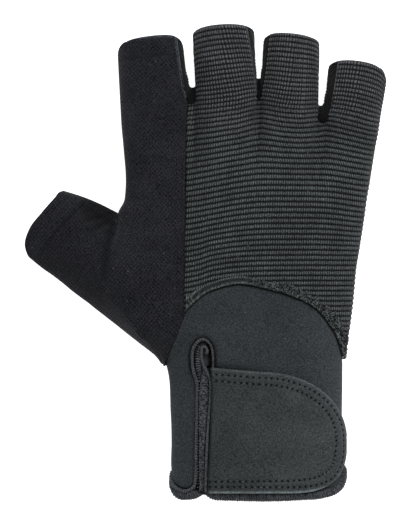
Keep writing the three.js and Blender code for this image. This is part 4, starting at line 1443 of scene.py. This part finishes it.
# width of the painted shade round the keyhole, and how dark it is below and above its foot
KEYHOLE_SHADE_WIDTH, KEYHOLE_SHADE_LOW, KEYHOLE_SHADE_HIGH = 1.0, 0.3, 0.93
KEYHOLE_FOOT = (-50, -44)
SHADOW, SHADOW_REACH = 0.7, 2.6
STRAP_TOP, STRAP_LEAN = 44.6, 0.1
NO_SHADOW = 99

turn_steps = np.linspace(math.pi, -math.pi, 241)
turns, shares = np.meshgrid(turn_steps, spread(0, 1, 104, 0.006), indexing="ij")
at_wrist = cuff_skin(turns, np.full(turns.shape, float(WRIST_Y)))
on_back_side = turns > 0
top = np.where(on_back_side, dome_line(at_wrist[..., 0]), WRIST_Y)
tube = cuff_skin(turns, lerp(hem_level(turns), top, shares))
tube[-1] = tube[0]
x, y = tube[..., 0], tube[..., 1]
far = edge_distance(tube, closed=True)
out = np.where(on_back_side, 0.25 * lumps(x, y, 12, 7), 0) * ease(far, 0, 3) - turned_edge(far, 0.8)
out[-1] = out[0]

past_binding = np.maximum(from_slit(x, y) - 0.8, 0)
# painted shade round the keyhole's binding, fainter down the slit
keyhole_shade = hill(past_binding, 0, KEYHOLE_SHADE_WIDTH) * lerp(KEYHOLE_SHADE_LOW, KEYHOLE_SHADE_HIGH, ease(y, *KEYHOLE_FOOT))
above_strap = np.where(x > 2, y + STRAP_TOP + STRAP_LEAN * x, NO_SHADOW)
shadow = SHADOW * hill(np.maximum(above_strap, 0), 0, SHADOW_REACH) * (1 - ease(x, 12, 34))
# painted shade along the cuff's edges and just above the flap's hem
seam = seam_shade(far, 0.35 + 0.3 * lumps(x, y, 1.6, 17), 0.8, start=0.2)
seam = seam * (1 - 0.75 * crease(x, y - 0.9, FLAP_LINE, 0.6))
# painted light: brighter towards the right side, darker on the left flap
light = lerp(0.95, 1.26, ease(x, 30, 56)) * lerp(0.92, 1, ease(x, -8, 2))
shade = (1 + 0.09 * lumps(x, y, 10, 8)) * light
shade = shade * np.where(on_back_side, (1 - keyhole_shade) * (1 - shadow) * seam, 1)
tube = tube + grid_normals(tube, closed=True) * out[..., None]
cuff = grid_piece("foam_cuff", tube, shade=shade)
weld(cuff)
apply_modifier(cuff, "SOLIDIFY", thickness=CUFF_WALL * MM, offset=-1)
print("the tube's grid is", tube.shape[0], "by", tube.shape[1], "points")

# %% [markdown]
# The cutter starts as a filled circle with as many corners as the slit's outline. We lay them
# along the outline, high above the back, and extrude the shape down to below the back but above
# the palm. The option use_self allows for a mesh that meets itself.

# %% Cuff with its slit
CUT_FROM = 40
CUT_DEPTH = 26
CUT_END_Y = -104
outline = np.concatenate([slit_path, [(3.3, CUT_END_Y), (-3.5, CUT_END_Y)]])
bpy.ops.object.select_all(action="DESELECT")
bpy.ops.mesh.primitive_circle_add(vertices=len(outline), radius=1, fill_type="NGON")
cutter = bpy.context.object
flat = np.column_stack([outline, np.full(len(outline), float(CUT_FROM))]) * MM
cutter.data.vertices.foreach_set("co", flat.ravel())
downwards = {"value": (0, 0, -CUT_DEPTH * MM)}
edit_all(cutter, bpy.ops.mesh.extrude_region_move, TRANSFORM_OT_translate=downwards)
face_outwards(cutter)
slit_cut = dict(operation="DIFFERENCE", solver="EXACT", use_self=True, object=cutter)
apply_modifier(cuff, "BOOLEAN", **slit_cut)
bpy.data.objects.remove(cutter)
only(cuff)
bpy.ops.object.shade_smooth()
register(cuff, "cuff_cloth", ["cuff"])

# %% [markdown]
# ## Bindings
#
# A binding is a thin tube along a line. An overlock machine wraps its edge in slanting threads,
# so the tube swells a little at every stitch, and the swelling is turned with the thread. Each
# wrap is also painted lighter and darker, as painted light and shade of that swelling.

# %% Tubes along lines
TUBE_ENDS = 0.03


def tube_piece(
    name,
    line,
    radius,
    pitch=0.95,
    slant=1.0,
    ripple=0.09,
    around=12,
    squash=1.0,
    specks=0.45,
    speck=0.7,
    bright=0.95,
):
    """A wrapped tube along a line: radius may change along it, and squash makes it flatter."""
    ahead = unit(np.gradient(line, axis=0))
    side = unit(np.cross(ahead, np.array([0, 0, 1.0])))
    up = np.cross(side, ahead)
    at = np.concatenate([[0], np.cumsum(np.linalg.norm(np.diff(line, axis=0), axis=1))])
    turn = np.linspace(0, 2 * math.pi, around + 1)[:, None]
    wrap = np.cos(2 * math.pi * at[None] / pitch + slant * turn)
    rough = lumps(at[None] + 0 * turn, 2 * turn + 0 * at, speck, len(name))
    size = np.broadcast_to(radius, (len(line),))[None] * (1 + ripple * wrap + 0.6 * ripple * rough)
    size[:, [0, -1]] *= TUBE_ENDS
    ring = np.cos(turn)[..., None] * side[None] + squash * np.sin(turn)[..., None] * up[None]
    # painted light and shade on each wrap of thread, with random specks of tone
    shade = np.clip(bright + 5 * ripple * wrap + specks * rough, 0.1, 2.2)
    layout = np.stack(np.broadcast_arrays(turn, at[None]), -1)
    piece = grid_piece(name, line[None] + ring * size[..., None], uv=layout, shade=shade)
    weld(piece, 0.07)
    face_outwards(piece)
    only(piece)
    bpy.ops.object.shade_smooth()
    return piece


# %% [markdown]
# Round the slit the tube is thin. It tapers on the right of the keyhole, where it goes under the
# strap, and rises a little at the hem, where it lies on the hem's own binding.

# %% Binding round the slit
LINE_STEP = 0.16
LOOP_RADIUS = 0.64
LOOP_RADIUS_UNDER = 0.44
LOOP_LIFT = 0.25
UNDER_STRAP = 0.5
OVER_HEM = 0.9
SLIT_FOOT_Y = -86

slit_corners = [corner for corner in SLIT_LINE if corner[1] > SLIT_FOOT_Y]
path = smooth_path(FLAP_LINE + slit_corners, LINE_STEP)
line = on_back(path, LOOP_LIFT)
line[:, 2] -= UNDER_STRAP * (path[:, 0] > 0) * ease(-path[:, 1], 40, 46)
line[:, 2] += OVER_HEM * ease(-path[:, 1], 90, 94)
size = lerp(LOOP_RADIUS, LOOP_RADIUS_UNDER, ease(path[:, 0], -1, 2.5))
slit_edge = tube_piece("slit_edge", line, size, pitch=1.05, slant=0.3, bright=1.1)
register(slit_edge, "binding", ["slit_binding"])

# %% [markdown]
# The same machine leaves a pale thread along the seams between the panels and the strips. It's a
# much thinner tube, and its line comes straight from the stall's own seam. Its brightness, set
# for each seam, is partly a painted highlight along the seam's folded edge.

# %% Threads along the finger seams
SEAM_THREAD = 0.3
THREAD_SUNK = np.array([0, 0, 0.2])
# finger, side and brightness, partly a painted highlight, of each seam that the camera sees
THREADS = [(0, RIGHT, 1.5), (1, RIGHT, 1.35), (2, RIGHT, 1), (3, LEFT, 1.3)]

along = np.linspace(0.04, 0.985, 260)
thread_wrap = dict(pitch=0.8, around=8, specks=0.5)
for k, side, bright in THREADS:
    line = stall_point(k, seam_turn(k, side, True, along), along) - THREAD_SUNK
    thread = tube_piece(f"seam_thread_{k}", line, SEAM_THREAD, bright=bright, **thread_wrap)
    register(thread, "binding", [])

# %% [markdown]
# Under the slit lies a strip of facing, which keeps it closed, and inside the keyhole the same
# facing lines the hollow, painted dark as shade there and next to the slit's binding. It's a grid
# on the back's own curve, a little lower.

# %% Facing under the slit
FACING = 1.0
KEYHOLE_REACH = 5.6
SLIT_TOP_Y = -44
across = np.linspace(-5.2, 4.4, 25)
along = np.linspace(-97.2, -31, 120)
x, y = np.meshgrid(across, along, indexing="ij")
in_keyhole = np.hypot(x + 1, (y + 38) * 0.9) < KEYHOLE_REACH
facing_keep = cells(np.where((y < SLIT_TOP_Y) | in_keyhole, 1.0, 0.0), np.minimum) > 0
hollow = 0.8 + 1.3 * hill(x, 1.6, 1.1) * hill(y, -39.5, 4.5)
points = np.stack([x, y, back_height(x, y) - hollow - 0.2 * lumps(x, y, 2.5, 9)], -1)
# painted shade next to the slit's binding and in the gap on its right
shade = lerp(0.08, 0.9, ease(from_slit(x, y), 1.0, 2.0)) * lerp(1, 0.3, ease(x, 0.6, 1.4))
shade = shade + 0.12 * lumps(x, y, 1.2, 10)
facing = grid_piece("slit_facing", points, facing_keep, shade=shade)
finish_sheet(facing, FACING, "cuff_cloth", [])

# %% [markdown]
# The hem's binding is thicker. It follows the open edge of the cuff all the way round, from one
# side of the slit to the other, and stands out a little. It sags below the left flap and in the
# middle of the back, and is drawn up at the slit.

# %% Binding round the hem
HEM_RADIUS = 2.0
HEM_OVERLAP = 0.45
# x of both ends of the binding, at the slit
HEM_ENDS = (-1.5, -0.3)
# x of the middle of each sag of the hem, its width, and how far it sags
SAGS = [(-11.5, 4.5, 1.5), (24, 14, 0.4), (-0.6, 2.8, -2.2)]
HEM_RISE = 0.5


def back_turn(x, y):
    """The turn on the back of the cuff at an x and a level."""
    left, right = left_line(y), right_line(y)
    place = (2 * x - left - right) / (right - left)
    return np.arccos(np.sign(place) * np.abs(place) ** (BACK_ROUND / 2))


def hem_path(from_x, to_x):
    """Round the hem from one x on the back, under the palm, to another: x, y, z and radius."""
    start_turn = float(back_turn(from_x, HEM[0][1]))
    end_turn = float(back_turn(to_x, HEM[0][1])) + 2 * math.pi
    turns = np.linspace(start_turn, end_turn, 500)
    turns = np.where(turns > math.pi, turns - 2 * math.pi, turns)
    edge = cuff_skin(turns, hem_level(turns))
    outwards = off_cuff(turns, edge[:, 1], np.ones(len(turns))) - edge
    down = unit(np.cross(np.gradient(edge, axis=0), outwards))
    down *= np.sign(-down[:, 1:2])
    over = np.maximum(0, np.sin(turns))
    at_right = np.maximum(0, np.cos(turns)) * (turns > -0.9)
    proud = 0.5 + 0.5 * over + 0.9 * at_right - HEM_RADIUS
    proud = proud + 1.1 * hill(turns, 0.05, 0.35) - 0.7 * ease(-np.cos(turns), 0.4, 0.8)
    x = edge[:, 0]
    lower = sum(sag * hill(x, middle, width) for middle, width, sag in SAGS)
    lower = (lower - HEM_RISE * ease(x, 46, 54)) * (np.sin(turns) > 0)
    radius = HEM_RADIUS + lower / 2
    line = edge + down * (radius - HEM_OVERLAP)[:, None] + outwards * proud[:, None]
    line[:, 2] = np.maximum(line[:, 2], 1.1 * radius)
    return np.column_stack([line, radius])


line = resample(hem_path(*HEM_ENDS), 0.17)[0]
hem_wrap = dict(pitch=1.0, slant=2.0, around=14, specks=0.6, bright=1.05)
hem_edge = tube_piece("hem_edge", line[:, :3], line[:, 3], **hem_wrap)
register(hem_edge, "binding", ["hem_binding"])

# %% [markdown]
# The strap's inner end is rolled and overlocked. It lies in the slit as a second ridge, leans
# to the left as it goes down, and its upper end curls into the keyhole as a comma.

# %% Rolled end of the strap
# x, y, radius, lift of its middle above the cuff
ROLL = [
    (-0.6, -43.2, 0.5, -0.1),
    (0.3, -45.6, 1.0, 0.2),
    (0.3, -48.5, 1.8, 0.7),
    (-0.1, -53, 2.1, 1),
    (-0.4, -60, 1.95, 1),
    (-0.7, -70.6, 1.65, 1),
    (-1, -83, 1.4, 1),
    (-1.2, -95.6, 1.2, 0.9),
]
path = smooth_path(ROLL, LINE_STEP)
line = on_back(path, path[:, 3])
roll_wrap = dict(ripple=0.04, around=32, squash=0.5, specks=1.5, speck=0.42)
rolled_end = tube_piece("rolled_end", line, path[:, 2], **roll_wrap)
register(rolled_end, "binding", ["strap_roll"])

# %% [markdown]
# A thinner tube pipes the roll's right edge, painted brighter as a highlight. Its upper end makes
# the comma.

# %% Rim of the rolled end
RIM_RADIUS = 0.56
RIM_LIFT = 0.35
RIM_CLIMB = 2.1
# x, y of the roll's piped rim, from its curl in the keyhole down to the hem
RIM_LINE = [
    (0.7, -38.6),
    (0.85, -36.6),
    (-0.2, -35.3),
    (-1.3, -36),
    (-1.5, -38),
    (-1.2, -40.8),
    (-0.3, -44),
    (1.4, -46.8),
    (2.3, -49.8),
    (2.3, -56),
    (1.4, -68),
    (0.7, -82),
    (0.3, -95.9),
]
path = smooth_path(RIM_LINE, LINE_STEP)
line = on_back(path, RIM_LIFT + RIM_CLIMB * ease(-path[:, 1], 44, 51))
roll_rim = tube_piece("roll_rim", line, RIM_RADIUS, pitch=0.9, slant=0.6, around=10, bright=1.3)
register(roll_rim, "binding", [])

# %% [markdown]
# ## The wrist strap
#
# The strap is a padded tab with a rounded tip, wrapped over the little finger's side. In the
# plan its upper and its lower edge each bend towards the tip with a roundness of their own. A
# table from turn to x tells where each of its points lies round the cuff.

# %% Outline of the strap
STRAP = dict(
    start_top=3.3,
    start_low=0.8,
    tip_turn=0.2,
    tip_y=-74.8,
    top_left=-43.5,
    top=-45.6,
    low=-96.5,
)
STRAP_THICK = 2.4
# how far its inner face lies above the cuff, in its middle and at its edge
STRAP_LIFT = 1.8
EDGE_LIFT = 0.8
# x where the upper and the lower edge start to bend, and how round the bend is
TOP_CORNER = (24, 2)
LOW_CORNER = (33, 2.8)
# half the height of the blunt tip
TIP_HALF = 2.4

turn_table = np.linspace(math.pi / 2 + 0.6, STRAP["tip_turn"], 400)
tip_levels = np.full(turn_table.shape, STRAP["tip_y"])
face_lifts = np.full(turn_table.shape, STRAP_LIFT + STRAP_THICK)
x_table = off_cuff(turn_table, tip_levels, face_lifts)[:, 0]
tip_x = x_table[-1]
print("the strap's tip is at x", round(float(tip_x), 1))


def strap_edges(x):
    """The strap's upper and lower edge at an x."""
    high = lerp(STRAP["top_left"], STRAP["top"], np.clip(x / TOP_CORNER[0], 0, 1)) - STRAP["tip_y"]
    corner = [
        (1 - np.clip((x - start) / (tip_x - start), 0, 1) ** roundness) ** (1 / roundness)
        for start, roundness in (TOP_CORNER, LOW_CORNER)
    ]
    top = STRAP["tip_y"] + np.maximum(high * corner[0], TIP_HALF)
    low = STRAP["tip_y"] - np.maximum((STRAP["tip_y"] - STRAP["low"]) * corner[1], TIP_HALF)
    return top, low


def strap_outline():
    """The edge that is stitched: along the top, round the tip and back along the bottom."""
    x = tip_x - (tip_x - STRAP["start_low"]) * np.linspace(1, 0, 400) ** 2
    top, low = strap_edges(x)
    upper, lower = np.column_stack([x, top]), np.column_stack([x, low])[::-1]
    return resample(np.concatenate([upper, lower]), 0.1)


def strap_surface(x, y, to_edge):
    """A point on the strap's face above a place in the plan."""
    turns = np.interp(x, x_table, turn_table)
    lift = lerp(EDGE_LIFT, STRAP_LIFT, ease(to_edge, 0, 4))
    return off_cuff(turns, y, lift + STRAP_THICK)


edge_line, edge_at = strap_outline()
print("the strap's stitched edge is", round(float(edge_at[-1])), "mm long")

# %% [markdown]
# The strap's grid is fine enough to carry every needle hole of its two rows of stitches. We
# measure how far each corner of the grid is from the strap's outline, and where along the outline
# that is, and press the holes and the rows' shallow grooves in from those. The holes get painted
# shade, the rim a painted highlight, the left edge in the slit painted shade, and the strap
# painted light towards its lower right.

# %% Strap
STITCH = 2.5
# share of the way along the edge, inset of the outer and of the inner row
STITCH_ROWS = [(0, 2.7, 5.5), (0.35, 2.4, 5.4), (0.6, 2, 5.8), (0.75, 2.6, 5.4), (1, 2.8, 4.9)]
PIT, PIT_DEPTH = 0.4, 0.5
GROOVE, GROOVE_DEPTH = 0.6, 0.12
# how much closer the grid's columns are towards the tip
CROWDING = 0.08

run = np.linspace(0, 1, 190)
run = run + CROWDING * np.sin(math.pi * run)
run = np.concatenate([[0, 0.004, 0.008], run[3:] / run[-1]])
run, rise = np.meshgrid(run, spread(0, 1, 150, 0.004), indexing="ij")
x = lerp(lerp(STRAP["start_low"], STRAP["start_top"], rise), tip_x, run)
top, low = strap_edges(x)
y = lerp(low, top, rise)
to_edge, along = nearest(x, y, edge_line, edge_at)
points = strap_surface(x, y, to_edge)

pit, groove = np.zeros(x.shape), np.zeros(x.shape)
beside = np.abs((along + 0.5 * STITCH) % STITCH - 0.5 * STITCH)
for row in (1, 2):
    off_row = to_edge - smooth_line(STITCH_ROWS, row)(along / edge_at[-1])
    pit = np.maximum(pit, hill(beside, 0, PIT) * hill(off_row, 0, PIT))
    groove = groove + hill(off_row, 0, GROOVE)
far = edge_distance(points)
out = 0.25 * lumps(x, y, 10, 11) * ease(far, 0, 4) - turned_edge(far, 0.9)
out = out - GROOVE_DEPTH * groove - PIT_DEPTH * pit

# painted highlight along the rim, brightest at the lower edge
rim = hill(to_edge, 0.5, 0.45) * (1 + 0.4 * lumps(x, y, 1.5, 12))
rim = rim * (0.7 + 2.8 * ease(-y, 93, 95.5))
# painted light: brighter towards the lower right
light = lerp(0.85, 1.14, ease(x - 0.25 * y, 20, 74))
# painted shade at the left edge, in the slit
slit_shade = 1 - 0.9 * hill(x, x[:1], 0.7)
# random tone, with painted shade in the needle holes
shade = (1 + 0.12 * lumps(x, y, 9, 13)) * light * (1 - np.minimum(1, 2.2 * pit))
shade = shade * (1 + rim) * slit_shade
points = points + grid_normals(points) * out[..., None]
wrist_tab = grid_piece("wrist_tab", points, shade=shade)
finish_sheet(wrist_tab, STRAP_THICK, "strap_cloth", ["wrist_strap"])

# %% [markdown]
# ## Stitches
#
# One stitch is modelled once: a short bead of thread with tapering ends. Every row of stitches
# is made of copies of it, laid along a line and joined into one piece.

# %% Form of one stitch
def stitch_form():
    """The corners and faces of one stitch, 1 long and 1 thick, lying along X."""
    bpy.ops.object.select_all(action="DESELECT")
    bpy.ops.mesh.primitive_uv_sphere_add(segments=8, ring_count=6, radius=0.5)
    bead = bpy.context.object
    bpy.ops.transform.rotate(value=math.pi / 2, orient_axis="Y", center_override=(0, 0, 0))
    bpy.ops.object.transform_apply(location=False, rotation=True, scale=True)
    corners = np.empty(len(bead.data.vertices) * 3)
    bead.data.vertices.foreach_get("co", corners)
    faces = [tuple(face.vertices) for face in bead.data.polygons]
    bpy.data.objects.remove(bead)
    return corners.reshape(-1, 3), faces


STITCH_CORNERS, STITCH_FACES = stitch_form()
print("a stitch has", len(STITCH_CORNERS), "corners and", len(STITCH_FACES), "faces")

# %% [markdown]
# No two stitches are quite alike: each one sways a little off its line, and differs a little in
# size and brightness.

# %% Rows of stitches
STITCH_SWAY = 0.08
STITCH_SIZES = 0.15
STITCH_SHADES = (-0.35, 0.5)


def stitches(name, centres, ahead, length, thick, seed, slot="binding", bright=1.0):
    """One piece made of a stitch at each centre, lying along its direction."""
    count = len(centres)
    rng = np.random.default_rng(seed)
    ahead = unit(ahead + rng.normal(0, STITCH_SWAY, ahead.shape))
    side = unit(np.cross(np.array([0, 0, 1.0]), ahead))
    up = np.cross(ahead, side)
    sizes = (1 + rng.uniform(-STITCH_SIZES, STITCH_SIZES, count))[:, None, None]
    long, wide, high = (STITCH_CORNERS[:, axis][None, :, None] for axis in range(3))
    corners = centres[:, None] + sizes * (
        long * length * ahead[:, None] + wide * thick * side[:, None] + high * thick * up[:, None]
    )
    firsts = range(0, count * len(STITCH_CORNERS), len(STITCH_CORNERS))
    faces = [tuple(first + i for i in face) for first in firsts for face in STITCH_FACES]
    mesh = bpy.data.meshes.new(name)
    mesh.from_pydata((corners.reshape(-1, 3) * MM).tolist(), [], faces)
    piece = bpy.data.objects.new(name, mesh)
    bpy.context.scene.collection.objects.link(piece)
    shades = bright + rng.uniform(*STITCH_SHADES, count)
    paint(piece, np.repeat(shades, len(STITCH_CORNERS)))
    only(piece)
    bpy.ops.object.shade_smooth()
    register(piece, slot, [])


# %% [markdown]
# The strap's two rows follow its outline, each at its inset. Where the outline turns sharply
# some stitches would come too close to another part of the edge, and those are left out.

# %% Stitches of the strap
STITCH_LONG, STITCH_THICK = 1.3, 0.42
STITCH_SUNK = np.array([0, 0, 0.08])
ROWS_FROM_X = 4
INSET_SLACK = 0.25

ahead = unit(np.gradient(edge_line, axis=0))
inwards = np.column_stack([ahead[:, 1], -ahead[:, 0]])
middle = (np.arange(int(edge_at[-1] / STITCH)) + 0.5) * STITCH
for row in (1, 2):
    inset = smooth_line(STITCH_ROWS, row)(edge_at / edge_at[-1])
    columns = (*(edge_line + inset[:, None] * inwards).T, inset, *ahead.T)
    x, y, inset, *tangent = (np.interp(middle, edge_at, column) for column in columns)
    clear = (x > ROWS_FROM_X) & (nearest(x, y, edge_line, edge_at)[0] > inset - INSET_SLACK)
    centres = strap_surface(x[clear], y[clear], inset[clear]) - STITCH_SUNK
    tangent = np.column_stack([*tangent, np.zeros(len(x))])[clear]
    name = f"strap_stitches_{row}"
    stitches(name, centres, tangent, STITCH_LONG, STITCH_THICK, 20 + row, "strap_cloth", bright=1.35)

# %% [markdown]
# The edge of the keyhole is whipped: eleven threads fan out from the comma. A row of finer
# threads crosses the groove between the two ridges all the way down.

# %% Whipped threads of the keyhole
WHIPS = 11
SLIT_THREAD_STEP = 1.3

share = np.linspace(0, 1, WHIPS)
outer = np.column_stack([lerp(-2.9, -4.1, np.sin(share * 2.2)), lerp(-34.8, -46, share)])
inner = np.column_stack([lerp(-1.3, -1.6, np.sin(share * 2.5)), lerp(-36.6, -44.6, share)])
outer, inner = on_back(outer, -0.45), on_back(inner, 0.0)
stitches("keyhole_threads", (outer + inner) / 2, inner - outer, 2.7, 0.62, 30, bright=1.6)

y = np.arange(-94, -46, SLIT_THREAD_STEP)
x = np.interp(y, (-94, -60, -46), (-2.9, -2.4, -2.6))
across = np.column_stack([np.full(len(y), 1.0), 0.9 * np.sin(y), np.zeros(len(y))])
centres = on_back(np.column_stack([x, y]), 0.6)
stitches("slit_threads", centres, across, 1.3, 0.45, 32, bright=1.3)

# %% [markdown]
# ## The gathered edge
#
# The ribbed cloth is eased onto the smaller dome, so its edge puckers. The pleats are neat on
# the thumb's side, tangle in the middle and turn into a crumbly ruffle on the outer side.
#
# The band's grid runs along the dome and is measured up from its foot. It's wider in the plan
# where the dome is steep, and its width is uneven where it ruffles.

# %% Points of the gathered band
GATHER_WIDTH = 3.8
GATHER_STEEPEST = 2.6
# about how long the band is, so that its unevenness has a size in millimetres
BAND_LENGTH = 110


def band_point(place, up):
    """A point on the band's footprint: place along the dome, up from its foot to its top."""
    share = np.sin(math.pi / 2 * place)
    foot = dome_level(share, False)
    x = across_at(share, foot, False)
    slope = dome_line(x + 0.5) - dome_line(x - 0.5)
    uneven = 0.3 * lumps(BAND_LENGTH * place, 0 * place, 3, 18) * ease(x, 14, 22)
    uneven = 1 + uneven + 0.12 * lumps(BAND_LENGTH * place, 0 * place, 0.8, 19) * ease(x, 18, 26)
    y = foot + up * GATHER_WIDTH * uneven * np.minimum(GATHER_STEEPEST, np.hypot(1, slope))
    x = across_at(share, y, False)
    return np.stack([x, y, back_height(x, y)], -1)


place, up = np.meshgrid(np.linspace(0.006, 0.978, 640), spread(0, 1, 34, 0.02), indexing="ij")
band = band_point(place, up)
print("the band's grid has", band.shape[0], "by", band.shape[1], "points")

# %% [markdown]
# Up the band lie a roll at its foot and a pale line near its top. Along it run the pleats, which
# calm down in the tangle and give way to crumbs where the band is rough. The roll, the pleats'
# crests and the pale line are painted light, partly as the cloth's tone and partly as painted
# highlights; the crumbs get painted light and shade by their height, and the edges painted shade.

# %% Gathered band
GATHER_THICK = 0.7
PLEATS = 62
# middle and width of the roll and of the pale line with its painted highlight, as shares of the way
# up
FOOT_ROLL = (0.17, 0.15)
PALE_LINE_HIGHLIGHT = (0.8, 0.1)
# x of the tangle's middle, and its width
TANGLE = (10.5, 4)

x, y = band[..., 0], band[..., 1]
rough = ease(x, 15, 23)
turned = np.sin(2 * math.pi * (PLEATS * place + 0.8 * lumps(x, y, 3, 14)))
neat = turned * lerp(1.6, 0.7, ease(x, -5, 2))
crumbs = 0.55 * lumps(x, y, 0.8, 15) + 1.1 * lumps(x, y, 0.4, 16)
calm = 1 - 0.75 * hill(x, *TANGLE)
roll = hill(up, *FOOT_ROLL)
far = edge_distance(band)
height = lerp(1.0, 0.9, rough) * (1 - up**2.5) - 0.1 + 0.45 * roll
height = height + calm * lerp(0.22 * neat * (1 - 0.6 * up), 0.4 * crumbs, rough)
height = height - turned_edge(far, 0.6)

# the roll, the pleats' crests and the pale line are painted light, partly as highlights
neat_shade = 0.3 + 1.15 * roll * (1 + 0.5 * turned * calm) + 0.9 * hill(up, *PALE_LINE_HIGHLIGHT)
neat_shade = neat_shade + 0.5 * np.maximum(neat, 0) * (1 - ease(x, -5, -1))
# crumbs painted lighter and darker by their height, more strongly on the right
rough_shade = 0.66 + lerp(0.9, 1.5, ease(x, 30, 44)) * crumbs
# painted shade along the band's edges
band_edge_shade = lerp(0.3, 0.8, rough * ease(up, 0.4, 0.7))
shade = lerp(neat_shade, rough_shade, rough) * seam_shade(far, band_edge_shade, 0.6)
shade = np.clip(shade, 0.08, 2.4)

band = band + grid_normals(band) * height[..., None]
steps = np.linalg.norm(np.diff(band, axis=0), axis=-1)
run = np.concatenate([np.zeros((1, band.shape[1])), np.cumsum(steps, axis=0)])
on_crest = np.full(run.shape, RIB_PITCH / 2)
layout = np.stack([run, on_crest], -1)
gathers = grid_piece("gathered_band", band, uv=layout, shade=shade)
finish_sheet(gathers, GATHER_THICK, "ribbed_cloth", ["gathered_edge"])

# %% [markdown]
# ## The hook patch
#
# The hook patch lies hidden under the strap, so the frame's plain piece stays as it is and only
# gets its material.

# %% Hook patch
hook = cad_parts["hook_patch"]
hook.data.materials.clear()
hook.data.materials.append(MATERIALS["hook_fastener"])
paint(hook, np.ones(len(hook.data.vertices)))
print("the hook patch has", len(hook.data.polygons), "faces")

# %% [markdown]
# ## Light, floor and camera
#
# A floor that gives a white light of its own stands for the photograph's ground, and a white
# world lights the glove from all sides.

# %% Floor and world
WHITE = (1, 1, 1, 1)
FLOOR_SIZE = 4
FLOOR_DROP = 0.2
FLOOR_COLOUR = (0.8, 0.8, 0.8, 1)
FLOOR_GLOW = 1
WORLD_LIGHT = 0.3


def make_floor():
    """A plane just under the glove."""
    bpy.ops.object.select_all(action="DESELECT")
    bpy.ops.mesh.primitive_plane_add(size=FLOOR_SIZE, location=(0, 0, -FLOOR_DROP * MM))
    floor = bpy.context.object
    floor.name = "studio_floor"
    material = bpy.data.materials.new("studio floor")
    material.use_nodes = True
    shader = material.node_tree.nodes["Principled BSDF"]
    shader.inputs["Base Color"].default_value = FLOOR_COLOUR
    shader.inputs["Roughness"].default_value = 1
    shader.inputs["Emission Color"].default_value = WHITE
    shader.inputs["Emission Strength"].default_value = FLOOR_GLOW
    floor.data.materials.append(material)
    floor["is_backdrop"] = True


def make_world():
    """Even light from all sides."""
    world = bpy.data.worlds.new("studio world")
    bpy.context.scene.world = world
    world.use_nodes = True
    background = world.node_tree.nodes["Background"]
    background.inputs["Color"].default_value = WHITE
    background.inputs["Strength"].default_value = WORLD_LIGHT


make_floor()
make_world()
print("floor of", FLOOR_SIZE, "m and world light of", WORLD_LIGHT)

# %% [markdown]
# The main light falls from the upper right, and a weaker one from the left fills the shadows.
# Both are large square lamps, so the shadows are soft.

# %% Lamps
# name, place and size in metres, energy in watts
LAMPS = [
    ("key light", (0.55, 0.75, 1.0), 0.7, 13.5),
    ("fill light", (-0.8, -0.3, 1.1), 0.9, 4),
]


def soft_box(name, place, size, energy):
    """A square lamp that looks at the glove from a place in metres."""
    bpy.ops.object.light_add(type="AREA", location=place)
    lamp = bpy.context.object
    lamp.name = name
    lamp.data.size = size
    lamp.data.energy = energy
    lamp.rotation_euler = (-Vector(place)).to_track_quat("-Z", "Y").to_euler()
    lamp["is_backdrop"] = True


for lamp_values in LAMPS:
    soft_box(*lamp_values)
print("lamps:", [lamp_values[0] for lamp_values in LAMPS])

# %% [markdown]
# The camera looks straight down, from so far away that a thing's height hardly changes its size.
# Its lens is chosen so that the picture is VIEW_HEIGHT high at VIEW_LEVEL above the floor.

# %% Camera
# middle of the picture in the plan
VIEW_CENTRE = (1.26, 0.84)
VIEW_HEIGHT = 218.4
VIEW_LEVEL = 12
CAMERA_AWAY = 1600
SENSOR = 24

camera_height = (CAMERA_AWAY + VIEW_LEVEL) * MM
bpy.ops.object.camera_add(location=(VIEW_CENTRE[0] * MM, VIEW_CENTRE[1] * MM, camera_height))
camera = bpy.context.object
camera.name = "camera"
camera.data.sensor_fit = "VERTICAL"
camera.data.sensor_height = SENSOR
camera.data.lens = SENSOR * CAMERA_AWAY / VIEW_HEIGHT
bpy.context.scene.camera = camera
bpy.context.scene.view_settings.view_transform = "Standard"
print("camera with a lens of", round(camera.data.lens), "mm")

# %% Finish
low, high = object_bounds()
print("finished size in mm", [round((high[axis] - low[axis]) / MM, 1) for axis in range(3)])
